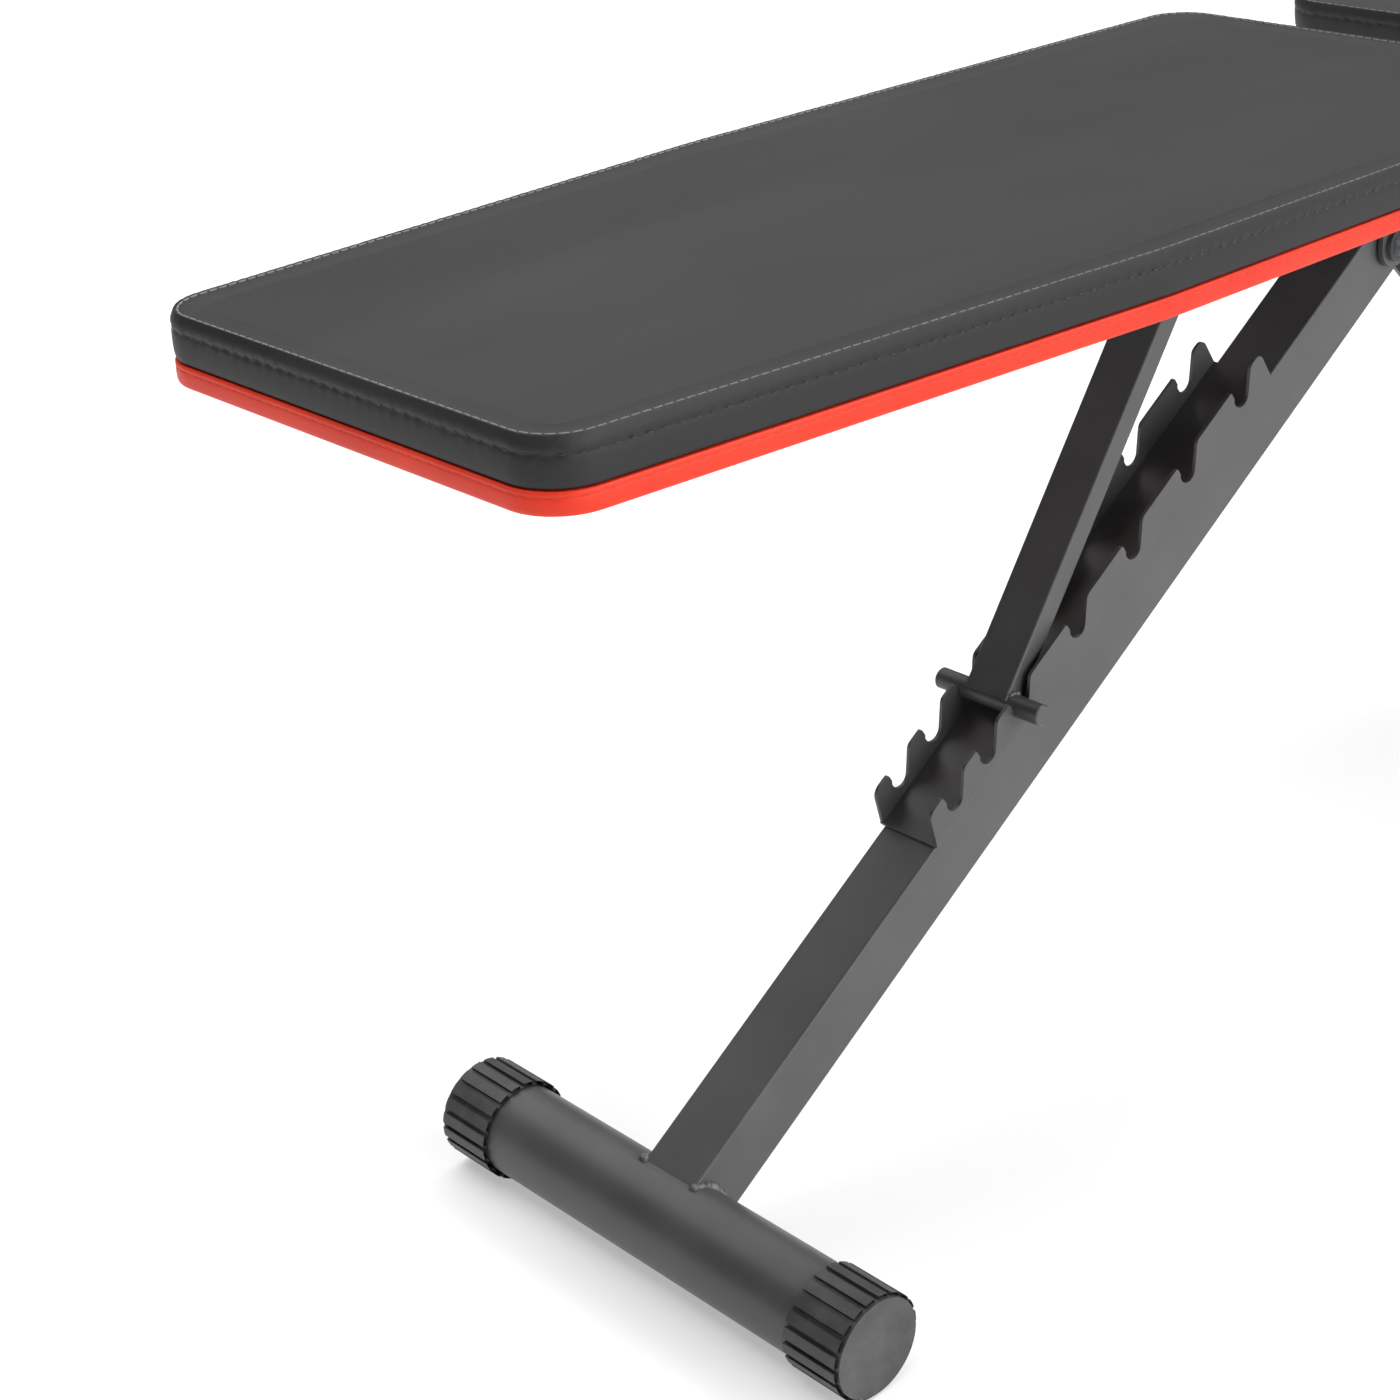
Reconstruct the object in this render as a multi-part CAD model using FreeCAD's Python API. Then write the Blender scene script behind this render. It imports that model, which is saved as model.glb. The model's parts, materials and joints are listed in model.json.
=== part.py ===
import FreeCAD, Part
import math
import os

V = FreeCAD.Vector

# Adjustable weight bench.  Millimetres, +X towards the seat, +Y to the left of a
# person who lies on it with the head at -X, +Z up.
# Pieces are laid out from the rear foot's axis, then moved so that the origin is on the
# floor under the middle of the bench.

# ---- driving dimensions -------------------------------------------------------------
leg_angle = 34.0            # rear leg above the floor, degrees
leg_size = 38.0             # square tube, outer
leg_wall = 2.0
tube_corner = 1.6           # outer corner radius of every square tube
leg_past_pivot = 58.0       # rear leg beyond the back pivot
plug_head = 2.0             # end plugs: flange over the wall, and the stem in the bore
plug_stem = 12.0

foot_tube_radius = 26.0
foot_wall = 2.0
foot_width = 307.0          # over the caps
front_foot_x = 1010.0       # front foot's axis from the rear foot's axis

cap_wall = 3.0              # from the tube to the top of a rib
cap_length = 37.0
cap_end_wall = 4.0
cap_rib_count = 20
cap_groove_depth = 1.7
cap_groove_width = 2.6
cap_edge = 1.2              # chamfer round the end face

foot_weld_radius = 2.2

rack_start = 241.5          # along the leg from the rear foot's axis
rack_end = 583.0
rack_sheet = 2.0
rack_height = 22.0          # wall above the leg's top face
rack_lean = 7.5             # how far the front edge leans back
rack_front_radius = 7.0
first_notch = 266.7
low_pitch = 32.3
low_notches = 3
high_pitch = 56.6
high_notches = 4
notch_depth = 9.0           # notch centre below the wall's top
hook_bulge = 1.2            # the hook's tip over the notch
hook_tip_radius = 1.4
hook_mouth = 3.6            # bulge ends this far above the notch centre
hook_throat = 1.6
ramp_angle = 51.3
ramp_radius = 5.0           # where the ramp meets the wall's top
rest_notch = 3
bar_seat_angle = 60.0       # direction in which the bar bears on its notch

bar_radius = 6.0
bar_length = 74.0
bar_edge = 0.8
strut_length = 299.0        # from the top pin to the bar
strut_width = 30.0
strut_depth = 14.0
strut_wall = 1.5
strut_solid_end = 16.0      # forged eye let into the top of the tube
strut_pin_radius = 4.0
strut_weld_radius = 1.6
strut_bolt_flats = 13.0
strut_bolt_head = 5.0
strut_nut_height = 6.5
spacer_radius = 7.0

back_pivot_s = 707.0        # along the rear leg
pivot_bolt_radius = 5.0
pivot_bolt_flats = 15.0
pivot_bolt_head = 5.5
pivot_nut_height = 8.0
bolt_past_nut = 0.8
nut_hex_share = 0.7         # of a lock nut's height; the rest is its round collar
ear_sheet = 3.0
ear_radius = 14.0
ear_reach = 80.0            # how far the ears run along the rails
ear_edge_radius = 3.0
washer_sheet = 1.4
disc_radius = 10.5
disc_sheet = 3.0

pivot_to_board = 78.65      # back pivot up to the underside of the board
trim_height = 10.0
trim_sheet = 2.5
cushion_height = 22.4
cushion_edge = 6.0
pad_past_pivot = 22.37      # the back pad's seat end beyond the pivot
back_length = 761.5
back_head_half = 138.0
back_seat_half = 160.0
back_taper = 350.0          # length over which the back pad widens
taper_bend_radius = 300.0
pad_corner = 28.0

rail_size = 25.0
rail_wall = 1.5
rail_inset = 53.0           # the rails' head end from the pad's
rail_gap_to_pivot = 30.0
cross_plate_sheet = 4.0
cross_plate_width = 30.0
cross_plate_length = 220.0
cross_plate_corner = 4.0
head_plate_inset = 183.0    # from the back pad's head end
plate_step = 200.0
seat_plate_inset = 108.5    # from the back pad's seat end
pad_screw_radius = 3.0
pad_screw_head = 6.0
pad_screw_head_height = 3.2
pad_screw_head_edge = 1.4
pad_screw_spread = 95.0     # from the middle to each screw
pad_screw_depth = 7.0       # into the board

seat_gap = 102.0            # from the back pad's board to the seat's board
seat_drop = 9.5             # seat's rear edge below the back pad's board
seat_tilt = 8.0
seat_length = 280.0
seat_rear_half = 158.0
seat_front_half = 132.0
seat_front_corner = 40.0
seat_plate_u = (65.0, 215.0)
seat_tube_start = 4.0
seat_tube_end = 268.0

fold_ahead = 97.87          # fold bolt ahead of the back pivot
fold_below = 48.35          # fold bolt below the back pivot
fold_sheet = 3.0
fold_bolt_radius = 5.0
bracket_start = 20.0        # along the leg, past the back pivot
bracket_nose = 13.0         # ahead of the leg's end
bracket_drop = 36.0         # below the leg's end
bracket_edge_radius = 12.0
lip_length = 28.0
front_leg_depth = 40.0
cheek_gap = 0.5             # each side, bracket cheek to front leg
rear_post_inset = 27.5      # from the seat's rear edge
front_post_inset = 60.0     # from the front foot's axis

roller_bar_radius = 12.5
upper_roller_z = 438.0
lower_roller_z = 232.0
roller_radius = 40.0
roller_length = 148.0
roller_start = 24.0         # from the middle of the bench
roller_edge = 4.0           # round on the foam's ends
roller_bar_land = 2.5       # post wall left each side of a roller bar
roller_stop_rim = 4.5       # end caps and collars stand this far out from the bar
roller_cap_sheet = 4.0
roller_cap_stem = 14.0
roller_cap_edge = 1.5
roller_collar_width = 5.0

knob_radius = 22.0
knob_lobes = 6
knob_height = 18.0
knob_skin = 4.0             # over the end of the fold bolt
knob_edge = 1.5
knob_dent_reach = 1.12      # centre and radius of the dents, of the knob's radius
knob_dent_radius = 0.32
bolt_in_knob = 13.0

# ---- named clearances ---------------------------------------------------------------
running = 0.05              # radial, pin in bore
face_gap = 0.1              # between faces that slide on each other
rest_gap = 0.3              # bracket lip to the front leg
notch_play = 0.5            # radial, bar in a notch
bar_seat_gap = 0.06         # bar to the notch that carries it
soft_gap = 0.4              # foam end to its neighbours

# ---- places worked out from them ----------------------------------------------------
cap_radius = foot_tube_radius + cap_wall
axis_z = cap_radius
theta = math.radians(leg_angle)
half_leg = leg_size / 2
leg_length = back_pivot_s + leg_past_pivot


def onLeg(s, n):
    """Point at s along the rear leg and n above its axis."""
    x = s * math.cos(theta) - n * math.sin(theta)
    z = axis_z + s * math.sin(theta) + n * math.cos(theta)
    return x, z


def notchPlaces():
    low = [first_notch + low_pitch * i for i in range(low_notches)]
    return low + [low[-1] + high_pitch * (i + 1) for i in range(high_notches)]


notch_radius = bar_radius + notch_play
rack_base = half_leg + face_gap
rack_top = rack_base + rack_height
notch_n = rack_top - notch_depth
pivot_x, pivot_z = onLeg(back_pivot_s, 0)
pad_bottom = pivot_z + pivot_to_board
back_head_x = pivot_x + pad_past_pivot - back_length
rail_head_x = back_head_x + rail_inset
middle_x = (back_head_x + front_foot_x + cap_radius) / 2
rail_top = pad_bottom - cross_plate_sheet
rail_middle = rail_top - rail_size / 2
ear_inner = half_leg + washer_sheet + face_gap
rail_inner = ear_inner + ear_sheet

# the bar is pushed down into its notch
bar_shift = notch_play - bar_seat_gap
bar_x, bar_z = onLeg(notchPlaces()[rest_notch - 1], notch_n)
bar_x -= bar_shift * math.cos(math.radians(bar_seat_angle))
bar_z -= bar_shift * math.sin(math.radians(bar_seat_angle))
strut_top_z = rail_middle
strut_rise = strut_top_z - bar_z
strut_top_x = bar_x + math.sqrt(strut_length ** 2 - strut_rise ** 2)
strut_angle = math.degrees(math.asin(strut_rise / strut_length))

back_plate_x = (
    back_head_x + head_plate_inset,
    back_head_x + head_plate_inset + plate_step,
    back_head_x + back_length - seat_plate_inset,
)
seat_x = back_head_x + back_length + seat_gap
seat_z = pad_bottom - seat_drop
seat_tube_middle = -cross_plate_sheet - half_leg
rear_post_x = seat_x + rear_post_inset
front_post_x = front_foot_x - front_post_inset
post_size = 2 * (roller_bar_radius + roller_bar_land)
roller_cap_radius = roller_bar_radius + roller_stop_rim
roller_end = roller_start + roller_length + soft_gap

fold_x = pivot_x + fold_ahead
fold_z = pivot_z - fold_below
front_leg_width = leg_size - 2 * (fold_sheet + cheek_gap)
fold_run = front_foot_x - fold_x
fold_fall = fold_z - axis_z
front_leg_length = math.hypot(fold_run, fold_fall)
front_leg_angle = -math.degrees(math.atan2(fold_fall, fold_run))


# ---- small helpers ------------------------------------------------------------------
def box(x0, x1, y0, y1, z0, z1):
    return Part.makeBox(x1 - x0, y1 - y0, z1 - z0, V(x0, y0, z0))


def across(x, z, radius, y0, y1):
    """Round bar along Y."""
    return Part.makeCylinder(radius, y1 - y0, V(x, y0, z), V(0, 1, 0))


def upright(x, y, radius, z0, z1):
    return Part.makeCylinder(radius, z1 - z0, V(x, y, z0), V(0, 0, 1))


def ring(x, z, outer, inner, y0, y1):
    return across(x, z, outer, y0, y1).cut(across(x, z, inner, y0, y1))


def place(shape, x, z, angle):
    """Turn a piece built along +X up by angle, and move it to x, z."""
    turned = shape.copy()
    turned.rotate(V(0, 0, 0), V(0, 1, 0), -angle)
    turned.translate(V(x, 0, z))
    return turned


def mirrored(shape):
    return shape.mirror(V(0, 0, 0), V(0, 1, 0))


def bothSides(shape):
    return [shape, mirrored(shape)]


def outline(corners):
    """Edges of a closed outline of (point, radius) corners, joined by tangent arcs."""
    edges = []
    ends = []
    count = len(corners)
    for i, (point, radius) in enumerate(corners):
        to_before = (corners[i - 1][0] - point).normalize()
        to_after = (corners[(i + 1) % count][0] - point).normalize()
        if radius <= 0:
            ends.append((point, point))
            continue
        half = to_before.getAngle(to_after) / 2
        reach = radius / math.tan(half)
        start = point + to_before * reach
        finish = point + to_after * reach
        bisector = (to_before + to_after).normalize()
        middle = point + bisector * (radius / math.sin(half) - radius)
        edges.append((i, Part.Arc(start, middle, finish).toShape()))
        ends.append((start, finish))
    arcs = dict(edges)
    path = []
    for i in range(count):
        if i in arcs:
            path.append(arcs[i])
        start = ends[i][1]
        finish = ends[(i + 1) % count][0]
        if start.distanceToPoint(finish) > 1e-6:
            path.append(Part.makeLine(start, finish))
    return Part.Wire(path)


def sidePlate(corners, y0, y1):
    """Plate of an XZ outline of (x, z, radius) corners, from y0 to y1."""
    wire = outline([(V(x, y0, z), radius) for x, z, radius in corners])
    return Part.Face(wire).extrude(V(0, y1 - y0, 0))


def flatPlate(corners, z0, z1):
    """Plate of an XY outline of (x, y, radius) corners, from z0 to z1."""
    wire = outline([(V(x, y, z0), radius) for x, y, radius in corners])
    return Part.Face(wire).extrude(V(0, 0, z1 - z0))


def tubeBlank(x0, x1, width, depth, corner):
    """Filled tube along X: width in Y, depth in Z."""
    w = width / 2
    d = depth / 2
    section = [(V(x0, -w, -d), corner), (V(x0, w, -d), corner), (V(x0, w, d), corner), (V(x0, -w, d), corner)]
    return Part.Face(outline(section)).extrude(V(x1 - x0, 0, 0))


def boreBlank(x0, x1, width, depth, wall):
    """Filling of a square tube's bore."""
    return tubeBlank(x0, x1, width - 2 * wall, depth - 2 * wall, tube_corner / 2)


def squareTube(x0, x1, width, depth, wall):
    blank = tubeBlank(x0, x1, width, depth, tube_corner)
    return blank.cut(boreBlank(x0, x1, width, depth, wall))


def endPlug(x, direction, size, wall):
    """Plug pushed into a square tube's end at x; direction is +1 for the tube's far end."""
    head = tubeBlank(0, plug_head, size, size, tube_corner)
    plug = head.fuse(boreBlank(-plug_stem, 0, size, size, wall)).removeSplitter()
    if direction < 0:
        plug = plug.mirror(V(0, 0, 0), V(1, 0, 0))
    plug.translate(V(x, 0, 0))
    return plug


def bead(ring_radius, weld, half_turn):
    """Weld bead along an arc about Y, centred on +X."""
    section = Part.Face(Part.Wire(Part.makeCircle(weld, V(ring_radius, 0, 0), V(0, 0, 1))))
    section.rotate(V(0, 0, 0), V(0, 1, 0), -half_turn)
    return section.revolve(V(0, 0, 0), V(0, 1, 0), 2 * half_turn)


def hexagon(x, z, across_flats, y0, y1):
    radius = across_flats / math.sqrt(3)
    corners = []
    for i in range(6):
        turn = math.radians(60 * i + 30)
        corners.append((x + radius * math.cos(turn), z + radius * math.sin(turn), 0))
    return sidePlate(corners, y0, y1)


def export(name, shapes):
    moved = []
    for shape in shapes:
        solid = shape.copy()
        solid.translate(V(-middle_x, 0, 0))
        moved.extend(solid.Solids)
    whole = moved[0] if len(moved) == 1 else Part.makeCompound(moved)
    whole.exportStep("parts/" + name + ".step")


# ---- feet ---------------------------------------------------------------------------
def footTube(x):
    end = foot_width / 2 - cap_end_wall
    return ring(x, axis_z, foot_tube_radius, foot_tube_radius - foot_wall, -end, end)


def footCap(x):
    """Ribbed cap over the tube's end, with a rib straight down on the floor."""
    outer_end = foot_width / 2
    mouth = outer_end - cap_length
    cap = across(x, axis_z, cap_radius, mouth, outer_end)
    cap = cap.makeChamfer(cap_edge, [e for e in cap.Edges if len(e.Vertexes) == 1])
    cap = cap.cut(across(x, axis_z, foot_tube_radius, mouth, outer_end - cap_end_wall))
    step = 360.0 / cap_rib_count
    groove_middle = cap_radius + cap_groove_depth / 2
    for i in range(cap_rib_count):
        slot = box(
            x - cap_groove_width / 2,
            x + cap_groove_width / 2,
            mouth,
            outer_end - 2 * cap_edge,
            axis_z + groove_middle - 1.5 * cap_groove_depth,
            axis_z + groove_middle + cap_groove_depth,
        )
        slot.rotate(V(x, 0, axis_z), V(0, 1, 0), step * (i + 0.5))
        cap = cap.cut(slot)
    return cap


def footWeld(x, leg_blank, angle, half_width, half_depth):
    """Bead along both sides of a leg where it meets the foot tube."""
    half_turn = math.degrees(math.asin(half_depth / foot_tube_radius))
    weld = place(bead(foot_tube_radius, foot_weld_radius, half_turn), x, axis_z, angle)
    weld.translate(V(0, half_width, 0))
    inner = across(x, axis_z, foot_tube_radius, 0, foot_width / 2)
    return bothSides(weld.cut(leg_blank).cut(inner))


# ---- rear frame ---------------------------------------------------------------------
def rearLegBlank():
    return place(tubeBlank(0, leg_length, leg_size, leg_size, tube_corner), 0, axis_z, leg_angle)


def rearLeg():
    leg = place(squareTube(0, leg_length, leg_size, leg_size, leg_wall), 0, axis_z, leg_angle)
    leg = leg.cut(across(0, axis_z, foot_tube_radius, -leg_size, leg_size))
    return leg.cut(across(pivot_x, pivot_z, pivot_bolt_radius, -leg_size, leg_size))


def legPlug():
    return place(endPlug(leg_length, 1, leg_size, leg_wall), 0, axis_z, leg_angle)


def rackWall(y0, y1):
    """One toothed wall in the leg's own frame; each notch is a hook in front and a ramp behind."""
    steep = math.radians(ramp_angle)
    corner_drop = notch_radius / math.tan((math.pi / 2 - steep) / 2)
    corners = [(rack_start, rack_base, 0)]
    corners.append((rack_start + rack_lean, rack_top, rack_front_radius))
    for place_s in notchPlaces():
        hook = place_s - notch_radius
        root = notch_n - corner_drop
        shoulder = hook + (rack_top - root) / math.tan(steep)
        corners.append((hook + hook_bulge, rack_top, hook_tip_radius))
        corners.append((hook + hook_bulge, notch_n + hook_mouth, hook_bulge / 2))
        corners.append((hook, notch_n + hook_throat, hook_bulge / 2))
        corners.append((hook, root, notch_radius))
        corners.append((shoulder, rack_top, ramp_radius))
    corners.append((rack_end, rack_top, ramp_radius))
    corners.append((rack_end, rack_base, 0))
    return sidePlate(corners, y0, y1)


def notchRack():
    """Folded channel on top of the leg, a sheet wider than the leg on each side."""
    outer = half_leg + rack_sheet
    wall = rackWall(half_leg, outer)
    base = box(rack_start, rack_end, -outer, outer, rack_base, rack_base + rack_sheet)
    rack = wall.fuse([mirrored(wall), base]).removeSplitter()
    folds = []
    for edge in rack.Edges:
        middle = edge.CenterOfMass
        if edge.Length > 100 and abs(abs(middle.y) - outer) < 0.01 and abs(middle.z - rack_base) < 0.01:
            folds.append(edge)
    rack = rack.makeFillet(rack_sheet - face_gap, folds)
    return place(rack, 0, axis_z, leg_angle)


def foldBracket():
    """Two cheeks under the leg's top end, joined by a lip that stops the front leg."""
    ax, az = onLeg(back_pivot_s + bracket_start, -half_leg)
    bx, bz = onLeg(leg_length, -half_leg)
    turn = math.radians(front_leg_angle)
    lip = front_leg_depth / 2 + rest_gap
    low = fold_bolt_radius + bracket_edge_radius

    def onFront(e, t):
        x = fold_x + e * math.cos(turn) - t * math.sin(turn)
        z = fold_z + e * math.sin(turn) + t * math.cos(turn)
        return x, z

    corners = [
        (ax, az, 0),
        (bx, bz, 0),
        (bx + bracket_nose, bz - bracket_drop, bracket_edge_radius / 2),
        (*onFront(lip_length, lip + fold_sheet), fold_sheet),
        (*onFront(low, -low), bracket_edge_radius),
        (*onFront(-low, -low), bracket_edge_radius),
    ]
    cheek = sidePlate(corners, half_leg - fold_sheet, half_leg)
    lip_plate = place(
        box(0, lip_length, fold_sheet - half_leg, half_leg - fold_sheet, lip, lip + fold_sheet),
        fold_x, fold_z, front_leg_angle,
    )
    whole = cheek.fuse([mirrored(cheek), lip_plate]).removeSplitter()
    return whole.cut(across(fold_x, fold_z, fold_bolt_radius, -leg_size, leg_size))


def hingeBolt(x, z, radius, start, finish, head_flats, head_height):
    """Hex bolt along Y: head on the +Y side, its shank ends at start."""
    head = hexagon(x, z, head_flats, finish, finish + head_height)
    corner = head_flats / math.sqrt(3)
    dome = Part.makeCone(corner, head_flats / 2 - bar_edge, head_height, V(x, finish, z), V(0, 1, 0))
    return across(x, z, radius, start, finish).fuse(head.common(dome)).removeSplitter()


def hingeNut(x, z, radius, finish, flats, height):
    """Lock nut on the -Y side, its inner face at finish."""
    shoulder = finish - height * nut_hex_share
    body = hexagon(x, z, flats, shoulder, finish)
    collar = across(x, z, flats / 2 - bar_edge, finish - height, shoulder)
    return body.fuse(collar).cut(across(x, z, radius, finish - height, finish)).removeSplitter()


# ---- back rest ----------------------------------------------------------------------
def hingeEar():
    left = pivot_x - ear_radius
    right = pivot_x + ear_radius
    low = pivot_z - ear_radius
    corners = [
        (pivot_x - ear_reach, rail_top, ear_edge_radius),
        (right, rail_top, ear_edge_radius),
        (right, low, ear_radius - face_gap),
        (left, low, ear_radius - face_gap),
        (left, pivot_z + ear_radius, ear_radius - face_gap),
        (pivot_x - ear_reach, rail_top - rail_size, 2 * ear_edge_radius),
    ]
    ear = sidePlate(corners, ear_inner, ear_inner + ear_sheet)
    return ear.cut(across(pivot_x, pivot_z, pivot_bolt_radius + running, 0, leg_size))


def backRail():
    rail = squareTube(rail_head_x, pivot_x - rail_gap_to_pivot, rail_size, rail_size, rail_wall)
    rail.translate(V(0, rail_inner + rail_size / 2, rail_middle))
    return rail.cut(across(strut_top_x, strut_top_z, strut_pin_radius, 0, rail_inner + rail_size + 1))


def railPlug(x, direction):
    plug = endPlug(x, direction, rail_size, rail_wall)
    plug.translate(V(0, rail_inner + rail_size / 2, rail_middle))
    return plug


def crossPlate(x, z_top):
    half = cross_plate_length / 2
    w = cross_plate_width / 2
    corners = [(x - w, -half), (x + w, -half), (x + w, half), (x - w, half)]
    rounded = [(*corner, cross_plate_corner) for corner in corners]
    plate = flatPlate(rounded, z_top - cross_plate_sheet, z_top)
    for y in (-pad_screw_spread, pad_screw_spread):
        plate = plate.cut(upright(x, y, pad_screw_radius, z_top - cross_plate_sheet, z_top))
    return plate


def padScrew(x, y, z_top):
    """Round-headed screw from under a cross plate into the board."""
    low = z_top - cross_plate_sheet
    bottom = low - pad_screw_head_height
    head = upright(x, y, pad_screw_head, bottom, low)
    head = head.makeFillet(pad_screw_head_edge, [e for e in head.Edges if e.CenterOfMass.z < bottom + 0.01])
    return head.fuse(upright(x, y, pad_screw_radius, low, z_top + pad_screw_depth)).removeSplitter()


def backOutline(inset):
    head = back_head_x + inset
    tail = back_head_x + back_length - inset
    narrow = back_head_half - inset
    wide = back_seat_half - inset
    bend = back_head_x + back_taper
    corner = pad_corner - inset
    return [
        (head, -narrow, corner),
        (bend, -wide, taper_bend_radius),
        (tail, -wide, corner),
        (tail, wide, corner),
        (bend, wide, taper_bend_radius),
        (head, narrow, corner),
    ]


def seatOutline(inset):
    rear = seat_rear_half - inset
    front = seat_front_half - inset
    rear_corner = pad_corner - inset
    front_corner = seat_front_corner - inset
    return [
        (inset, -rear, rear_corner),
        (seat_length - inset, -front, front_corner),
        (seat_length - inset, front, front_corner),
        (inset, rear, rear_corner),
    ]


def board(shape_outline, z, screw_places):
    """Plywood inside the trim, drilled for the screws."""
    plank = flatPlate(shape_outline(trim_sheet), z, z + trim_height)
    for x, y in screw_places:
        plank = plank.cut(upright(x, y, pad_screw_radius, z, z + pad_screw_depth))
    return plank


def trim(shape_outline, z):
    inner = flatPlate(shape_outline(trim_sheet), z, z + trim_height)
    return flatPlate(shape_outline(0), z, z + trim_height).cut(inner)


def cushion(shape_outline, z):
    pad = flatPlate(shape_outline(0), z, z + cushion_height)
    rim = [e for e in pad.Edges if abs(e.CenterOfMass.z - z - cushion_height) < 0.01]
    return pad.makeFillet(cushion_edge, rim)


def screwPlaces(stations):
    return [(x, y) for x in stations for y in (-pad_screw_spread, pad_screw_spread)]


# ---- prop strut ---------------------------------------------------------------------
def strutBlank(start, finish):
    return tubeBlank(start, finish, strut_width, strut_depth, tube_corner)


def strutTube():
    tube = squareTube(0, strut_length, strut_width, strut_depth, strut_wall)
    eye = across(strut_length, 0, strut_depth / 2, -strut_width / 2, strut_width / 2)
    body = tube.fuse([strutBlank(strut_length - strut_solid_end, strut_length), eye]).removeSplitter()
    body = body.cut(across(0, 0, bar_radius, -strut_width, strut_width))
    body = body.cut(across(strut_length, 0, strut_pin_radius + running, -strut_width, strut_width))
    return place(max(body.Solids, key=lambda s: s.Volume), bar_x, bar_z, strut_angle)


def crossBar():
    half = bar_length / 2
    bar = across(bar_x, bar_z, bar_radius, -half, half)
    return bar.makeChamfer(bar_edge, [e for e in bar.Edges if len(e.Vertexes) == 1])


def strutWelds():
    """Beads where the strut's two narrow sides stand on the bar."""
    half_turn = math.degrees(math.atan2(strut_depth / 2, bar_radius))
    weld = place(bead(bar_radius, strut_weld_radius, half_turn), bar_x, bar_z, strut_angle)
    weld.translate(V(0, strut_width / 2, 0))
    blank = place(strutBlank(0, strut_length / 2), bar_x, bar_z, strut_angle)
    bar = across(bar_x, bar_z, bar_radius, 0, strut_width)
    return bothSides(weld.cut(blank).cut(bar))


# ---- front frame --------------------------------------------------------------------
def onSeat(shape, lift=0.0):
    """Set a piece built in the seat's own frame, whose origin is the board's bottom rear edge."""
    raised = shape.copy()
    raised.translate(V(0, 0, lift))
    return place(raised, seat_x, seat_z, seat_tilt)


def frontLegBlank():
    return place(
        tubeBlank(0, front_leg_length, front_leg_width, front_leg_depth, tube_corner),
        fold_x, fold_z, front_leg_angle,
    )


def frontLeg():
    tube = squareTube(0, front_leg_length, front_leg_width, front_leg_depth, leg_wall)
    wall_outer = front_leg_width / 2
    disc = across(0, 0, front_leg_depth / 2, wall_outer - leg_wall, wall_outer)
    for cheek in bothSides(disc):
        tube = tube.fuse(cheek)
    leg = place(tube.removeSplitter(), fold_x, fold_z, front_leg_angle)
    leg = leg.cut(across(front_foot_x, axis_z, foot_tube_radius, -leg_size, leg_size))
    return leg.cut(across(fold_x, fold_z, fold_bolt_radius + running, -leg_size, leg_size))


def seatTubeBlank():
    tube = tubeBlank(seat_tube_start, seat_tube_end, leg_size, leg_size, tube_corner)
    return onSeat(tube, seat_tube_middle)


def seatTube():
    return onSeat(squareTube(seat_tube_start, seat_tube_end, leg_size, leg_size, leg_wall), seat_tube_middle)


def seatTubePlugs():
    plugs = [endPlug(seat_tube_start, -1, leg_size, leg_wall), endPlug(seat_tube_end, 1, leg_size, leg_wall)]
    return [onSeat(plug, seat_tube_middle) for plug in plugs]


def post(x):
    """Upright tube between the front leg and the seat tube, shaped to both."""
    leg_z = fold_z - (x - fold_x) * fold_fall / fold_run
    seat_line = seat_z + (x - seat_x) * math.tan(math.radians(seat_tilt)) + seat_tube_middle
    tube = squareTube(leg_z, seat_line, post_size, post_size, leg_wall)
    tube.rotate(V(0, 0, 0), V(0, 1, 0), -90)
    tube.translate(V(x, 0, 0))
    tube = tube.cut(frontLegBlank()).cut(seatTubeBlank())
    return max(tube.Solids, key=lambda s: s.Volume)


def frontPost():
    tube = post(front_post_x)
    for z in (upper_roller_z, lower_roller_z):
        tube = tube.cut(across(front_post_x, z, roller_bar_radius, -post_size, post_size))
    return tube


def rollerBar(z):
    return ring(front_post_x, z, roller_bar_radius, roller_bar_radius - leg_wall, -roller_end, roller_end)


def rollerBarCap(z):
    """Flanged plug in the bar's end that keeps the roller on."""
    outer = roller_end + roller_cap_sheet
    flange = across(front_post_x, z, roller_cap_radius, roller_end, outer)
    flange = flange.makeFillet(roller_cap_edge, [e for e in flange.Edges if e.CenterOfMass.y > outer - 0.01])
    stem = across(front_post_x, z, roller_bar_radius - leg_wall, roller_end - roller_cap_stem, roller_end)
    return flange.fuse(stem).removeSplitter()


def foamRoller(z):
    start = roller_start
    finish = start + roller_length
    foam = across(front_post_x, z, roller_radius, start, finish)
    foam = foam.makeFillet(roller_edge, [e for e in foam.Edges if len(e.Vertexes) == 1])
    return foam.cut(across(front_post_x, z, roller_bar_radius + running, start, finish))


def rollerCollar(z):
    """Stop ring pressed on the bar between the post and a roller."""
    outer = roller_start - soft_gap
    return ring(front_post_x, z, roller_cap_radius, roller_bar_radius, outer - roller_collar_width, outer)


def foldKnob():
    """Star knob on the fold bolt's end that clamps the bracket."""
    outer = -half_leg - face_gap
    inner = outer - knob_height
    knob = across(fold_x, fold_z, knob_radius, inner, outer)
    for i in range(knob_lobes):
        turn = 2 * math.pi * i / knob_lobes
        dent_x = fold_x + knob_radius * knob_dent_reach * math.cos(turn)
        dent_z = fold_z + knob_radius * knob_dent_reach * math.sin(turn)
        knob = knob.cut(across(dent_x, dent_z, knob_radius * knob_dent_radius, inner, outer))
    knob = knob.makeFillet(knob_edge, [e for e in knob.Edges if abs(e.CenterOfMass.y - inner) < 0.01])
    return knob.cut(across(fold_x, fold_z, fold_bolt_radius + running, inner + knob_skin, outer))


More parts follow.
